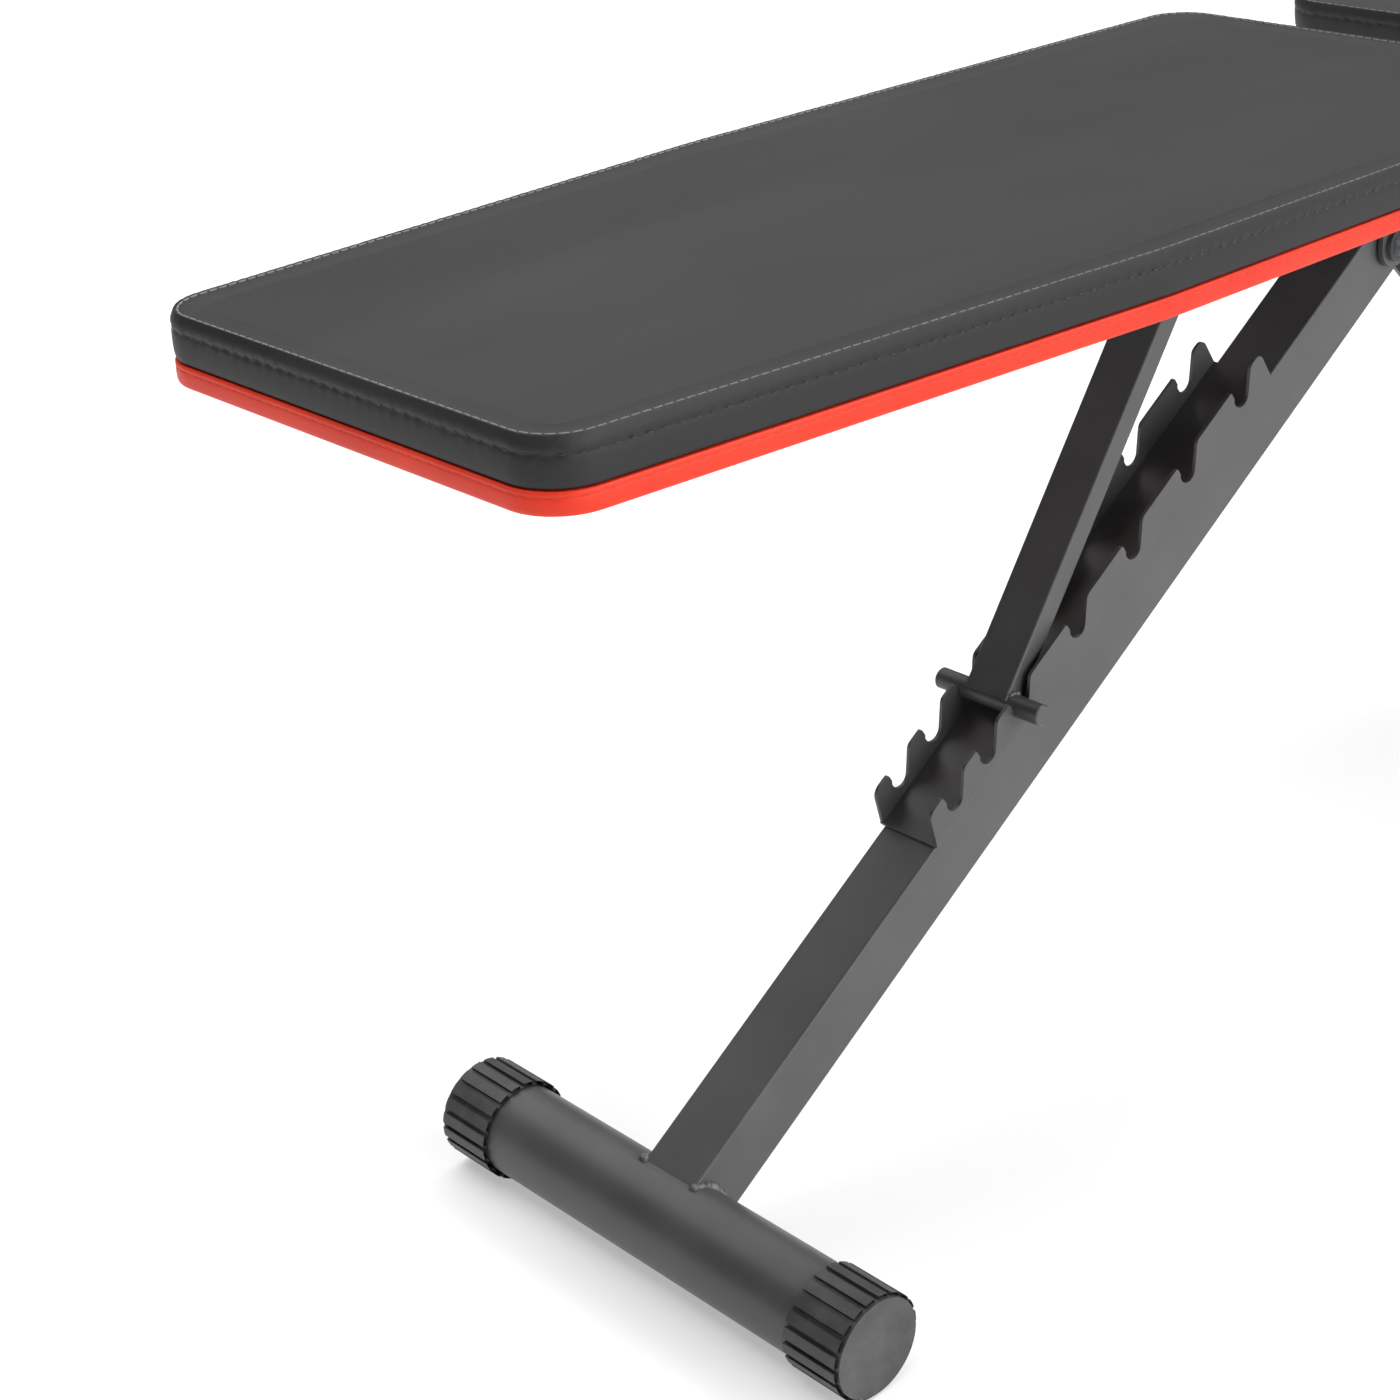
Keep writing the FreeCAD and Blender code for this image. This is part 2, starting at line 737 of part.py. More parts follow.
# ---- write every node ---------------------------------------------------------------
def buildRearFrame():
    export("rear_foot_tube", [footTube(0)])
    export("rear_foot_caps", bothSides(footCap(0)))
    export("rear_leg", [rearLeg()])
    export("rear_leg_welds", footWeld(0, rearLegBlank(), leg_angle, half_leg, half_leg))
    export("rear_leg_plug", [legPlug()])
    export("notch_rack", [notchRack()])
    export("fold_bracket", [foldBracket()])
    washer = ring(pivot_x, pivot_z, disc_radius, pivot_bolt_radius, half_leg, half_leg + washer_sheet)
    export("pivot_washers", bothSides(washer))
    disc_start = ear_inner + ear_sheet + face_gap
    disc = ring(pivot_x, pivot_z, disc_radius, pivot_bolt_radius, disc_start, disc_start + disc_sheet)
    export("pivot_discs", bothSides(disc))
    face = disc_start + disc_sheet
    tip = -face - pivot_nut_height - bolt_past_nut
    export("pivot_bolt", [hingeBolt(pivot_x, pivot_z, pivot_bolt_radius, tip, face, pivot_bolt_flats,
                                    pivot_bolt_head)])
    export("pivot_nut", [hingeNut(pivot_x, pivot_z, pivot_bolt_radius, -face, pivot_bolt_flats,
                                  pivot_nut_height)])
    tip = -half_leg - bolt_in_knob
    export("fold_bolt", [hingeBolt(fold_x, fold_z, fold_bolt_radius, tip, half_leg, pivot_bolt_flats,
                                   pivot_bolt_head)])


def buildBackRest():
    export("back_hinge_ears", bothSides(hingeEar()))
    export("back_rails", bothSides(backRail()))
    plugs = bothSides(railPlug(rail_head_x, -1)) + bothSides(railPlug(pivot_x - rail_gap_to_pivot, 1))
    export("back_rail_plugs", plugs)
    export("back_cross_plates", [crossPlate(x, pad_bottom) for x in back_plate_x])
    places = screwPlaces(back_plate_x)
    export("back_pad_screws", [padScrew(x, y, pad_bottom) for x, y in places])
    export("back_board", [board(backOutline, pad_bottom, places)])
    export("back_trim", [trim(backOutline, pad_bottom)])
    export("back_pad", [cushion(backOutline, pad_bottom + trim_height)])
    face = rail_inner + rail_size
    tip = -face - strut_nut_height - bolt_past_nut
    export("strut_bolt", [hingeBolt(strut_top_x, strut_top_z, strut_pin_radius, tip, face, strut_bolt_flats,
                                    strut_bolt_head)])
    export("strut_nut", [hingeNut(strut_top_x, strut_top_z, strut_pin_radius, -face, strut_bolt_flats,
                                  strut_nut_height)])
    inner_face = strut_width / 2 + face_gap
    spacer = ring(strut_top_x, strut_top_z, spacer_radius, strut_pin_radius, inner_face, rail_inner)
    export("strut_spacers", bothSides(spacer))


def buildStrut():
    export("strut_tube", [strutTube()])
    export("cross_bar", [crossBar()])
    export("strut_welds", strutWelds())


def buildFrontFrame():
    export("front_foot_tube", [footTube(front_foot_x)])
    export("front_foot_caps", bothSides(footCap(front_foot_x)))
    export("front_leg", [frontLeg()])
    weld_angle = 180 + front_leg_angle
    export("front_leg_welds", footWeld(front_foot_x, frontLegBlank(), weld_angle, front_leg_width / 2,
                                       front_leg_depth / 2))
    export("rear_seat_post", [post(rear_post_x)])
    export("front_seat_post", [frontPost()])
    export("seat_tube", [seatTube()])
    export("seat_tube_plugs", seatTubePlugs())
    places = screwPlaces(seat_plate_u)
    export("seat_cross_plates", [onSeat(crossPlate(u, 0)) for u in seat_plate_u])
    export("seat_pad_screws", [onSeat(padScrew(u, y, 0)) for u, y in places])
    export("seat_board", [onSeat(board(seatOutline, 0, places))])
    export("seat_trim", [onSeat(trim(seatOutline, 0))])
    export("seat_pad", [onSeat(cushion(seatOutline, trim_height))])
    heights = {"upper": upper_roller_z, "lower": lower_roller_z}
    for name, z in heights.items():
        export(name + "_roller_bar", [rollerBar(z)])
        export(name + "_foam_left", [foamRoller(z)])
        export(name + "_foam_right", [mirrored(foamRoller(z))])
    caps = []
    collars = []
    for z in heights.values():
        caps += bothSides(rollerBarCap(z))
        collars += bothSides(rollerCollar(z))
    export("roller_bar_caps", caps)
    export("roller_collars", collars)
    export("fold_knob", [foldKnob()])


os.makedirs("parts", exist_ok=True)
buildRearFrame()
buildBackRest()
buildStrut()
buildFrontFrame()
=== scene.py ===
import bpy
import bmesh
import json
import math
from mathutils import Matrix, Vector, kdtree, noise


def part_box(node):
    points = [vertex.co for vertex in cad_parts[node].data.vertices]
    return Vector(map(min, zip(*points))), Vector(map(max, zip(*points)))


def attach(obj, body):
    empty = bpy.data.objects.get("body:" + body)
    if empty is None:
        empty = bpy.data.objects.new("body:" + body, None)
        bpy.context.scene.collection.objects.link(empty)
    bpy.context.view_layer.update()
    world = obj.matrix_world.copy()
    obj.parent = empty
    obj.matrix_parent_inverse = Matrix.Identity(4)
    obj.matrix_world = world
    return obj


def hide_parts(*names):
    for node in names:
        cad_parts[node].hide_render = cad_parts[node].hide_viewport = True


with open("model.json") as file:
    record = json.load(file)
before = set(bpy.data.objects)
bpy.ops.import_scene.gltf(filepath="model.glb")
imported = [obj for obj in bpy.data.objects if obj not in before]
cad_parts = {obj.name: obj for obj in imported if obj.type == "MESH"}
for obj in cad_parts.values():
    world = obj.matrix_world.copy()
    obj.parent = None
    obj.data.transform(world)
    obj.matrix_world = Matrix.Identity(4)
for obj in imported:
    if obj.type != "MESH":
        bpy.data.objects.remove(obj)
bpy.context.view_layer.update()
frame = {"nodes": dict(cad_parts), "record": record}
print("frame loaded", len(frame["nodes"]), "nodes")

mm = 0.001
hair = 0.01 * mm  # nearer than this counts as the same place


def deselectAll():
    if bpy.context.object and bpy.context.object.mode != "OBJECT":
        bpy.ops.object.mode_set(mode="OBJECT")
    bpy.ops.object.select_all(action="DESELECT")


def makeActive(piece):
    deselectAll()
    piece.select_set(True)
    bpy.context.view_layer.objects.active = piece


def editMesh(piece, kind="FACE"):
    makeActive(piece)
    bpy.ops.object.mode_set(mode="EDIT")
    bpy.ops.mesh.select_mode(type=kind)
    bpy.ops.mesh.select_all(action="DESELECT")


def leaveEdit():
    bpy.ops.object.mode_set(mode="OBJECT")


def pick(piece, kind, test):
    # select by place or normal, and leave the rest of the selection off
    bpy.ops.mesh.select_mode(type=kind)
    bpy.ops.mesh.select_all(action="DESELECT")
    mesh = bmesh.from_edit_mesh(piece.data)
    mesh.normal_update()
    parts = {"FACE": mesh.faces, "EDGE": mesh.edges, "VERT": mesh.verts}[kind]
    for part in parts:
        if test(part):
            part.select_set(True)
    mesh.select_flush_mode()
    bmesh.update_edit_mesh(piece.data)


def edgeMiddle(edge):
    return (edge.verts[0].co + edge.verts[1].co) / 2


def edgeWay(edge):
    return (edge.verts[1].co - edge.verts[0].co).normalized()


def applyAll(piece):
    makeActive(piece)
    for modifier in list(piece.modifiers):
        bpy.ops.object.modifier_apply(modifier=modifier.name)


def settle(piece, name):
    # the place goes into the mesh, so the object sits at the origin
    makeActive(piece)
    bpy.ops.object.transform_apply(location=True, rotation=True, scale=True)
    piece.name = name
    piece.data.name = name
    return piece


def smooth(piece, degrees=35):
    makeActive(piece)
    bpy.ops.object.shade_smooth_by_angle(angle=math.radians(degrees))


def joinPieces(pieces, name):
    deselectAll()
    for piece in pieces:
        piece.select_set(True)
    bpy.context.view_layer.objects.active = pieces[0]
    bpy.ops.object.join()
    return settle(bpy.context.object, name)


def copyOf(piece, matrix):
    makeActive(piece)
    bpy.ops.object.duplicate()
    twin = bpy.context.object
    twin.matrix_world = matrix @ twin.matrix_world
    if matrix.determinant() < 0:
        # a mirrored copy comes inside out
        settle(twin, twin.name)
        editMesh(twin)
        bpy.ops.mesh.select_all(action="SELECT")
        bpy.ops.mesh.normals_make_consistent(inside=False)
        leaveEdit()
    return twin


def hexColour(code):
    # sRGB hex to linear
    channels = []
    for i in (0, 2, 4):
        value = int(code[i:i + 2], 16) / 255
        channels.append(value / 12.92 if value <= 0.04045 else ((value + 0.055) / 1.055) ** 2.4)
    return (*channels, 1.0)


def perMm(size):
    # pattern scale that gives features of this many millimetres on Object coordinates
    return 1.0 / (size * mm)


def addNode(material, kind, settings=None, inputs=None, stops=None):
    tree = material.node_tree
    node = tree.nodes.new(kind)
    for key, value in (settings or {}).items():
        setattr(node, key, value)
    for key, value in (inputs or {}).items():
        if isinstance(value, bpy.types.NodeSocket):
            tree.links.new(value, node.inputs[key])
        else:
            node.inputs[key].default_value = value
    for i, (position, code) in enumerate(stops or ()):
        bands = node.color_ramp.elements
        band = bands[i] if i < len(bands) else bands.new(position)
        band.position, band.color = position, hexColour(code)
    return node


def newMaterial(name):
    material = bpy.data.materials.new(name)
    material.use_nodes = True
    material.node_tree.nodes.clear()
    return material, addNode(material, "ShaderNodeTexCoord").outputs["Object"]


def powderCoat():
    # polyester powder coat baked on steel: charcoal, satin, with a fine orange peel
    coat = {"dark": "444445", "pale": "4d4d4e", "peelMm": 0.9, "peelDeep": 0.05, "cloudMm": 45,
            "satin": 0.38, "dull": 0.47, "ior": 1.5}
    material, place = newMaterial("satinPowderCoat")
    cloud = addNode(material, "ShaderNodeTexNoise", inputs={
        "Vector": place, "Scale": perMm(coat["cloudMm"]), "Detail": 2.0})
    peel = addNode(material, "ShaderNodeTexNoise", inputs={
        "Vector": place, "Scale": perMm(coat["peelMm"]), "Detail": 2.0})
    colour = addNode(material, "ShaderNodeValToRGB", inputs={"Fac": cloud.outputs["Fac"]},
                     stops=[(0.3, coat["dark"]), (0.7, coat["pale"])])
    gloss = addNode(material, "ShaderNodeMapRange", inputs={
        "Value": cloud.outputs["Fac"], "To Min": coat["satin"], "To Max": coat["dull"]})
    bump = addNode(material, "ShaderNodeBump", inputs={
        "Height": peel.outputs["Fac"], "Distance": coat["peelDeep"] * mm})
    shader = addNode(material, "ShaderNodeBsdfPrincipled", inputs={
        "Base Color": colour.outputs["Color"], "Roughness": gloss.outputs["Result"],
        "Normal": bump.outputs["Normal"], "IOR": coat["ior"]})
    addNode(material, "ShaderNodeOutputMaterial", inputs={"Surface": shader.outputs["BSDF"]})
    return material


def weldMetal():
    # MIG weld under the same powder coat, a little glossier; the paler grey on its ripples is painted
    # highlight for the glossy weld lumps
    weld = {"dark": "444445", "pale": "68686a", "rippleMm": 4.0, "rippleDeep": 0.08,
            "gloss": 0.34, "ior": 1.5}
    material, place = newMaterial("coatedWeldBead")
    ripple = addNode(material, "ShaderNodeTexNoise", inputs={
        "Vector": place, "Scale": perMm(weld["rippleMm"]), "Detail": 3.0})
    # the pale stop is painted highlight: ripple crests get a lighter grey that stands in for the weld's
    # glints
    colour = addNode(material, "ShaderNodeValToRGB", inputs={"Fac": ripple.outputs["Fac"]},
                     stops=[(0.35, weld["dark"]), (0.7, weld["pale"])])
    bump = addNode(material, "ShaderNodeBump", inputs={
        "Height": ripple.outputs["Fac"], "Distance": weld["rippleDeep"] * mm})
    shader = addNode(material, "ShaderNodeBsdfPrincipled", inputs={
        "Base Color": colour.outputs["Color"], "Roughness": weld["gloss"],
        "Normal": bump.outputs["Normal"], "IOR": weld["ior"]})
    addNode(material, "ShaderNodeOutputMaterial", inputs={"Surface": shader.outputs["BSDF"]})
    return material


def capPlastic():
    # injection-moulded polyethylene: grey where it is rubbed, with a spark-eroded grain
    cap = {"dark": "353536", "pale": "4c4c4d", "grainMm": 0.6, "grainDeep": 0.04, "scuffMm": 16,
           "smooth": 0.42, "rubbed": 0.6, "ior": 1.5}
    material, place = newMaterial("mouldedCapPlastic")
    scuff = addNode(material, "ShaderNodeTexNoise", inputs={
        "Vector": place, "Scale": perMm(cap["scuffMm"]), "Detail": 4.0, "Roughness": 0.6})
    grain = addNode(material, "ShaderNodeTexNoise", inputs={
        "Vector": place, "Scale": perMm(cap["grainMm"]), "Detail": 2.0})
    colour = addNode(material, "ShaderNodeValToRGB", inputs={"Fac": scuff.outputs["Fac"]},
                     stops=[(0.35, cap["dark"]), (0.75, cap["pale"])])
    gloss = addNode(material, "ShaderNodeMapRange", inputs={
        "Value": scuff.outputs["Fac"], "To Min": cap["smooth"], "To Max": cap["rubbed"]})
    bump = addNode(material, "ShaderNodeBump", inputs={
        "Height": grain.outputs["Fac"], "Distance": cap["grainDeep"] * mm})
    shader = addNode(material, "ShaderNodeBsdfPrincipled", inputs={
        "Base Color": colour.outputs["Color"], "Roughness": gloss.outputs["Result"],
        "Normal": bump.outputs["Normal"], "IOR": cap["ior"]})
    addNode(material, "ShaderNodeOutputMaterial", inputs={"Surface": shader.outputs["BSDF"]})
    return material


def blackVinyl():
    # PVC upholstery vinyl: charcoal, a shallow pressed leather grain, and faint pale clouds that are partly
    # random tone and partly painted broad soft highlights
    skin = {"dark": "161618", "mid": "1d1d1f", "pale": "272524", "grainMm": 1.3, "grainDeep": 0.05,
            "creaseMm": 9, "creaseDeep": 0.1, "cloudMm": 120, "cloudDrawnOut": (0.35, 1.0, 1.0),
            "smooth": 0.5, "rubbed": 0.64, "shine": 0.36, "ior": 1.5}
    material, place = newMaterial("charcoalVinyl")
    along = addNode(material, "ShaderNodeMapping", inputs={"Vector": place, "Scale": skin["cloudDrawnOut"]})
    cloud = addNode(material, "ShaderNodeTexNoise", inputs={
        "Vector": along.outputs["Vector"], "Scale": perMm(skin["cloudMm"]), "Detail": 3.0, "Roughness": 0.55})
    grain = addNode(material, "ShaderNodeTexVoronoi", {"feature": "SMOOTH_F1"}, {
        "Vector": place, "Scale": perMm(skin["grainMm"]), "Smoothness": 0.4})
    crease = addNode(material, "ShaderNodeTexNoise", inputs={
        "Vector": place, "Scale": perMm(skin["creaseMm"]), "Detail": 4.0, "Roughness": 0.6})
    # the pale clouds are partly painted highlight: broad soft sheen laid into the colour, partly uneven tone
    colour = addNode(material, "ShaderNodeValToRGB", inputs={"Fac": cloud.outputs["Fac"]},
                     stops=[(0.3, skin["dark"]), (0.72, skin["pale"]), (0.5, skin["mid"])])
    gloss = addNode(material, "ShaderNodeMapRange", inputs={
        "Value": cloud.outputs["Fac"], "To Min": skin["smooth"], "To Max": skin["rubbed"]})
    folds = addNode(material, "ShaderNodeBump", inputs={
        "Height": crease.outputs["Fac"], "Distance": skin["creaseDeep"] * mm})
    bump = addNode(material, "ShaderNodeBump", inputs={
        "Height": grain.outputs["Distance"], "Distance": skin["grainDeep"] * mm,
        "Normal": folds.outputs["Normal"]})
    shader = addNode(material, "ShaderNodeBsdfPrincipled", inputs={
        "Base Color": colour.outputs["Color"], "Roughness": gloss.outputs["Result"],
        "Normal": bump.outputs["Normal"], "IOR": skin["ior"], "Specular IOR Level": skin["shine"]})
    addNode(material, "ShaderNodeOutputMaterial", inputs={"Surface": shader.outputs["BSDF"]})
    return material


def redVinyl():
    # the same vinyl in red-orange, stretched tight round the board so its grain is almost flat
    skin = {"dark": "cc2406", "pale": "dc300b", "grainMm": 1.1, "grainDeep": 0.05, "cloudMm": 60,
            "gloss": 0.48, "shine": 0.35, "ior": 1.5}
    material, place = newMaterial("redEdgeVinyl")
    cloud = addNode(material, "ShaderNodeTexNoise", inputs={
        "Vector": place, "Scale": perMm(skin["cloudMm"]), "Detail": 3.0})
    grain = addNode(material, "ShaderNodeTexNoise", inputs={
        "Vector": place, "Scale": perMm(skin["grainMm"]), "Detail": 3.0})
    colour = addNode(material, "ShaderNodeValToRGB", inputs={"Fac": cloud.outputs["Fac"]},
                     stops=[(0.3, skin["dark"]), (0.7, skin["pale"])])
    bump = addNode(material, "ShaderNodeBump", inputs={
        "Height": grain.outputs["Fac"], "Distance": skin["grainDeep"] * mm})
    shader = addNode(material, "ShaderNodeBsdfPrincipled", inputs={
        "Base Color": colour.outputs["Color"], "Roughness": skin["gloss"],
        "Normal": bump.outputs["Normal"], "IOR": skin["ior"], "Specular IOR Level": skin["shine"]})
    addNode(material, "ShaderNodeOutputMaterial", inputs={"Surface": shader.outputs["BSDF"]})
    return material


def sewingThread(name, dark, pale):
    # bonded polyester thread: twisted plies give it a soft sheen
    thread = {"plyMm": 0.5, "plyDeep": 0.08, "gloss": 0.6, "sheen": 0.2}
    material, place = newMaterial(name)
    ply = addNode(material, "ShaderNodeTexNoise", inputs={
        "Vector": place, "Scale": perMm(thread["plyMm"]), "Detail": 2.0})
    colour = addNode(material, "ShaderNodeValToRGB", inputs={"Fac": ply.outputs["Fac"]},
                     stops=[(0.3, dark), (0.8, pale)])
    bump = addNode(material, "ShaderNodeBump", inputs={
        "Height": ply.outputs["Fac"], "Distance": thread["plyDeep"] * mm})
    shader = addNode(material, "ShaderNodeBsdfPrincipled", inputs={
        "Base Color": colour.outputs["Color"], "Roughness": thread["gloss"],
        "Sheen Weight": thread["sheen"], "Normal": bump.outputs["Normal"]})
    addNode(material, "ShaderNodeOutputMaterial", inputs={"Surface": shader.outputs["BSDF"]})
    return material


def brightZinc():
    # zinc plate over a rolled hex head: bright, slightly cloudy, faint blue
    plate = {"dark": "9aa0a6", "pale": "d5d9dc", "cloudMm": 6, "bright": 0.16, "cloudy": 0.32}
    material, place = newMaterial("brightZincPlate")
    cloud = addNode(material, "ShaderNodeTexNoise", inputs={
        "Vector": place, "Scale": perMm(plate["cloudMm"]), "Detail": 3.0, "Roughness": 0.5})
    colour = addNode(material, "ShaderNodeValToRGB", inputs={"Fac": cloud.outputs["Fac"]},
                     stops=[(0.3, plate["dark"]), (0.7, plate["pale"])])
    gloss = addNode(material, "ShaderNodeMapRange", inputs={
        "Value": cloud.outputs["Fac"], "To Min": plate["bright"], "To Max": plate["cloudy"]})
    shader = addNode(material, "ShaderNodeBsdfPrincipled", inputs={
        "Base Color": colour.outputs["Color"], "Roughness": gloss.outputs["Result"], "Metallic": 1.0})
    addNode(material, "ShaderNodeOutputMaterial", inputs={"Surface": shader.outputs["BSDF"]})
    return material


def rollerFoam():
    # closed-cell NBR foam with a cut skin: matt black with pin-hole pores
    foam = {"dark": "1a1a1b", "pale": "29292a", "poreMm": 1.6, "poreDeep": 0.22, "cloudMm": 25,
            "matt": 0.88, "sheen": 0.25}
    material, place = newMaterial("closedCellFoam")
    cloud = addNode(material, "ShaderNodeTexNoise", inputs={
        "Vector": place, "Scale": perMm(foam["cloudMm"]), "Detail": 4.0})
    pores = addNode(material, "ShaderNodeTexVoronoi", {"feature": "F1"}, {
        "Vector": place, "Scale": perMm(foam["poreMm"])})
    colour = addNode(material, "ShaderNodeValToRGB", inputs={"Fac": cloud.outputs["Fac"]},
                     stops=[(0.3, foam["dark"]), (0.7, foam["pale"])])
    bump = addNode(material, "ShaderNodeBump", inputs={
        "Height": pores.outputs["Distance"], "Distance": foam["poreDeep"] * mm})
    shader = addNode(material, "ShaderNodeBsdfPrincipled", inputs={
        "Base Color": colour.outputs["Color"], "Roughness": foam["matt"],
        "Sheen Weight": foam["sheen"], "Normal": bump.outputs["Normal"]})
    addNode(material, "ShaderNodeOutputMaterial", inputs={"Surface": shader.outputs["BSDF"]})
    return material


def stainedPly():
    # plywood board dipped in black stain: the long grain still shows through, matt
    ply = {"dark": "262524", "pale": "393735", "grainMm": 3, "grainDrawnOut": (0.06, 1.0, 1.0),
           "grainDeep": 0.1, "matt": 0.75}
    material, place = newMaterial("blackStainedPlywood")
    along = addNode(material, "ShaderNodeMapping", inputs={"Vector": place, "Scale": ply["grainDrawnOut"]})
    grain = addNode(material, "ShaderNodeTexNoise", inputs={
        "Vector": along.outputs["Vector"], "Scale": perMm(ply["grainMm"]), "Detail": 5.0, "Roughness": 0.6})
    colour = addNode(material, "ShaderNodeValToRGB", inputs={"Fac": grain.outputs["Fac"]},
                     stops=[(0.3, ply["dark"]), (0.7, ply["pale"])])
    bump = addNode(material, "ShaderNodeBump", inputs={
        "Height": grain.outputs["Fac"], "Distance": ply["grainDeep"] * mm})
    shader = addNode(material, "ShaderNodeBsdfPrincipled", inputs={
        "Base Color": colour.outputs["Color"], "Roughness": ply["matt"], "Normal": bump.outputs["Normal"]})
    addNode(material, "ShaderNodeOutputMaterial", inputs={"Surface": shader.outputs["BSDF"]})
    return material


paints = {
    "powder_coat": powderCoat(),
    "cap_plastic": capPlastic(),
    "zinc": brightZinc(),
    "plywood": stainedPly(),
    "red_vinyl": redVinyl(),
    "black_vinyl": blackVinyl(),
    "foam": rollerFoam(),
}
darkThread = sewingThread("charcoalThread", "101011", "1b1b1c")
# seam thread: a lighter grey than the vinyl, and also painted highlight standing in for the bright line along
# the seam ridge
seamHighlightThread = sewingThread("greyThreadPaintedHighlight", "4e4e50", "6c6c6e")
redThread = sewingThread("redThread", "b02310", "cb3019")
weldPaint = weldMetal()

for entry in frame["record"]["subparts"]:
    node = frame["nodes"][entry["node"]]
    node.data.materials.clear()
    node.data.materials.append(paints[entry["material_slot"]])
print("materials made")


def finishPiece(piece, body, slotName, replaced=(), material=None):
    piece.data.materials.clear()
    piece.data.materials.append(material or paints[slotName])
    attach(piece, body)
    if replaced:
        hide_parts(*replaced)
    return piece


# each pad's outline: half widths, corner radii, where its taper ends with a soft bend, and its tilt
backPad = {
    "body": "back_rest", "cushion": "back_pad", "band": "back_trim",
    "headHalf": 138 * mm, "tailHalf": 160 * mm, "taper": 350 * mm, "bend": 300 * mm, "tilt": 0.0,
    "headCorner": 28 * mm, "tailCorner": 28 * mm, "length": 761.5 * mm,
}
seatPad = {
    "body": "front_frame", "cushion": "seat_pad", "band": "seat_trim",
    "headHalf": 158 * mm, "tailHalf": 132 * mm, "taper": None, "tilt": math.radians(8.0),
    "headCorner": 28 * mm, "tailCorner": 40 * mm, "length": 280 * mm,
}
padShape = {
    "bandHeight": 10 * mm, "cushionHeight": 22.4 * mm,
    # the foam body stands this far inside the side panel, above the board and below the seam
    "bodyInset": 2.2 * mm, "bodyLow": 0.8 * mm, "bodyTopDrop": 0.8 * mm,
    "edge": 2.5 * mm, "topSteps": 3, "lowSteps": 2, "cornerSteps": 10, "voxel": 4.5 * mm,
    "relaxTimes": 3, "relaxShare": 0.5,
}


def padPlace(pad):
    # the pad's own frame: origin at the bottom of its head edge, x along the pad
    low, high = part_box(pad["band"])
    shift = padShape["bandHeight"] * math.sin(pad["tilt"])
    return Matrix.Translation((low.x + shift, 0, low.z)) @ Matrix.Rotation(-pad["tilt"], 4, "Y")


def padCorners(pad, inset):
    head, tail = pad["headHalf"] - inset, pad["tailHalf"] - inset
    corners = [(inset, -head, pad["headCorner"] - inset)]
    if pad["taper"]:
        corners.append((pad["taper"], -tail, pad["bend"]))
    corners.append((pad["length"] - inset, -tail, pad["tailCorner"] - inset))
    return corners + [(x, -y, radius) for x, y, radius in reversed(corners)]


def outlinePoints(pad, inset, spacing):
    # points at even steps round the pad's outline, with round corners
    corners = padCorners(pad, inset)
    rough = []
    for i, (x, y, radius) in enumerate(corners):
        here = Vector((x, y))
        before = (Vector(corners[i - 1][:2]) - here).normalized()
        after = (Vector(corners[(i + 1) % len(corners)][:2]) - here).normalized()
        half = before.angle(after) / 2
        centre = here + (before + after).normalized() * (radius / math.sin(half))
        start = here + before * (radius / math.tan(half)) - centre
        turn = math.pi - 2 * half
        steps = max(3, int(turn * radius / mm))  # about one point to each millimetre of bend
        for k in range(steps + 1):
            rough.append(centre + Matrix.Rotation(turn * k / steps, 2) @ start)
    lengths = [0.0]
    for i in range(len(rough)):
        lengths.append(lengths[-1] + (rough[(i + 1) % len(rough)] - rough[i]).length)
    count = round(lengths[-1] / spacing)
    points = []
    k = 0
    for i in range(count):
        target = lengths[-1] * i / count
        while lengths[k + 1] < target:
            k += 1
        part = (target - lengths[k]) / max(lengths[k + 1] - lengths[k], 1e-9)
        points.append(rough[k].lerp(rough[(k + 1) % len(rough)], part))
    return points


def padBlock(pad, inset, bottom, top, name):
    # cube cut at the bend, narrowed at the head, with rounded corners
    bpy.ops.mesh.primitive_cube_add(size=1, location=(pad["length"] / 2, 0, (bottom + top) / 2))
    block = bpy.context.object
    wide = max(pad["headHalf"], pad["tailHalf"]) - inset
    block.scale = (pad["length"] - 2 * inset, 2 * wide, top - bottom)
    settle(block, name)
    editMesh(block)
    if pad["taper"]:
        bpy.ops.mesh.select_all(action="SELECT")
        bpy.ops.mesh.bisect(plane_co=(pad["taper"], 0, 0), plane_no=(1, 0, 0))
    headTest = lambda v: v.co.x < inset + hair
    tailTest = lambda v: v.co.x > pad["length"] - inset - hair
    for test, half in ((headTest, pad["headHalf"]), (tailTest, pad["tailHalf"])):
        pick(block, "VERT", test)
        bpy.ops.transform.resize(value=(1, (half - inset) / wide, 1), center_override=(0, 0, 0))
    upright = lambda e: abs(edgeWay(e).z) > 0.99
    headEdge = lambda e: upright(e) and edgeMiddle(e).x < inset + 1 * mm
    tailEdge = lambda e: upright(e) and edgeMiddle(e).x > pad["length"] - inset - 1 * mm
    for test, radius in ((headEdge, pad["headCorner"]), (tailEdge, pad["tailCorner"])):
        pick(block, "EDGE", test)
        bpy.ops.mesh.bevel(offset=radius - inset, segments=padShape["cornerSteps"], affect="EDGES")
    leaveEdit()
    return block


def roundRim(block, height, radius, segments):
    # bevel the edges that run round the block at this height
    editMesh(block)
    atHeight = lambda e: abs(edgeMiddle(e).z - height) < hair and abs(edgeWay(e).z) < 0.01
    isCorner = lambda e: abs(e.link_faces[0].normal.z - e.link_faces[1].normal.z) > 0.5
    pick(block, "EDGE", lambda e: atHeight(e) and len(e.link_faces) == 2 and isCorner(e))
    bpy.ops.mesh.bevel(offset=radius, segments=segments, affect="EDGES")
    leaveEdit()


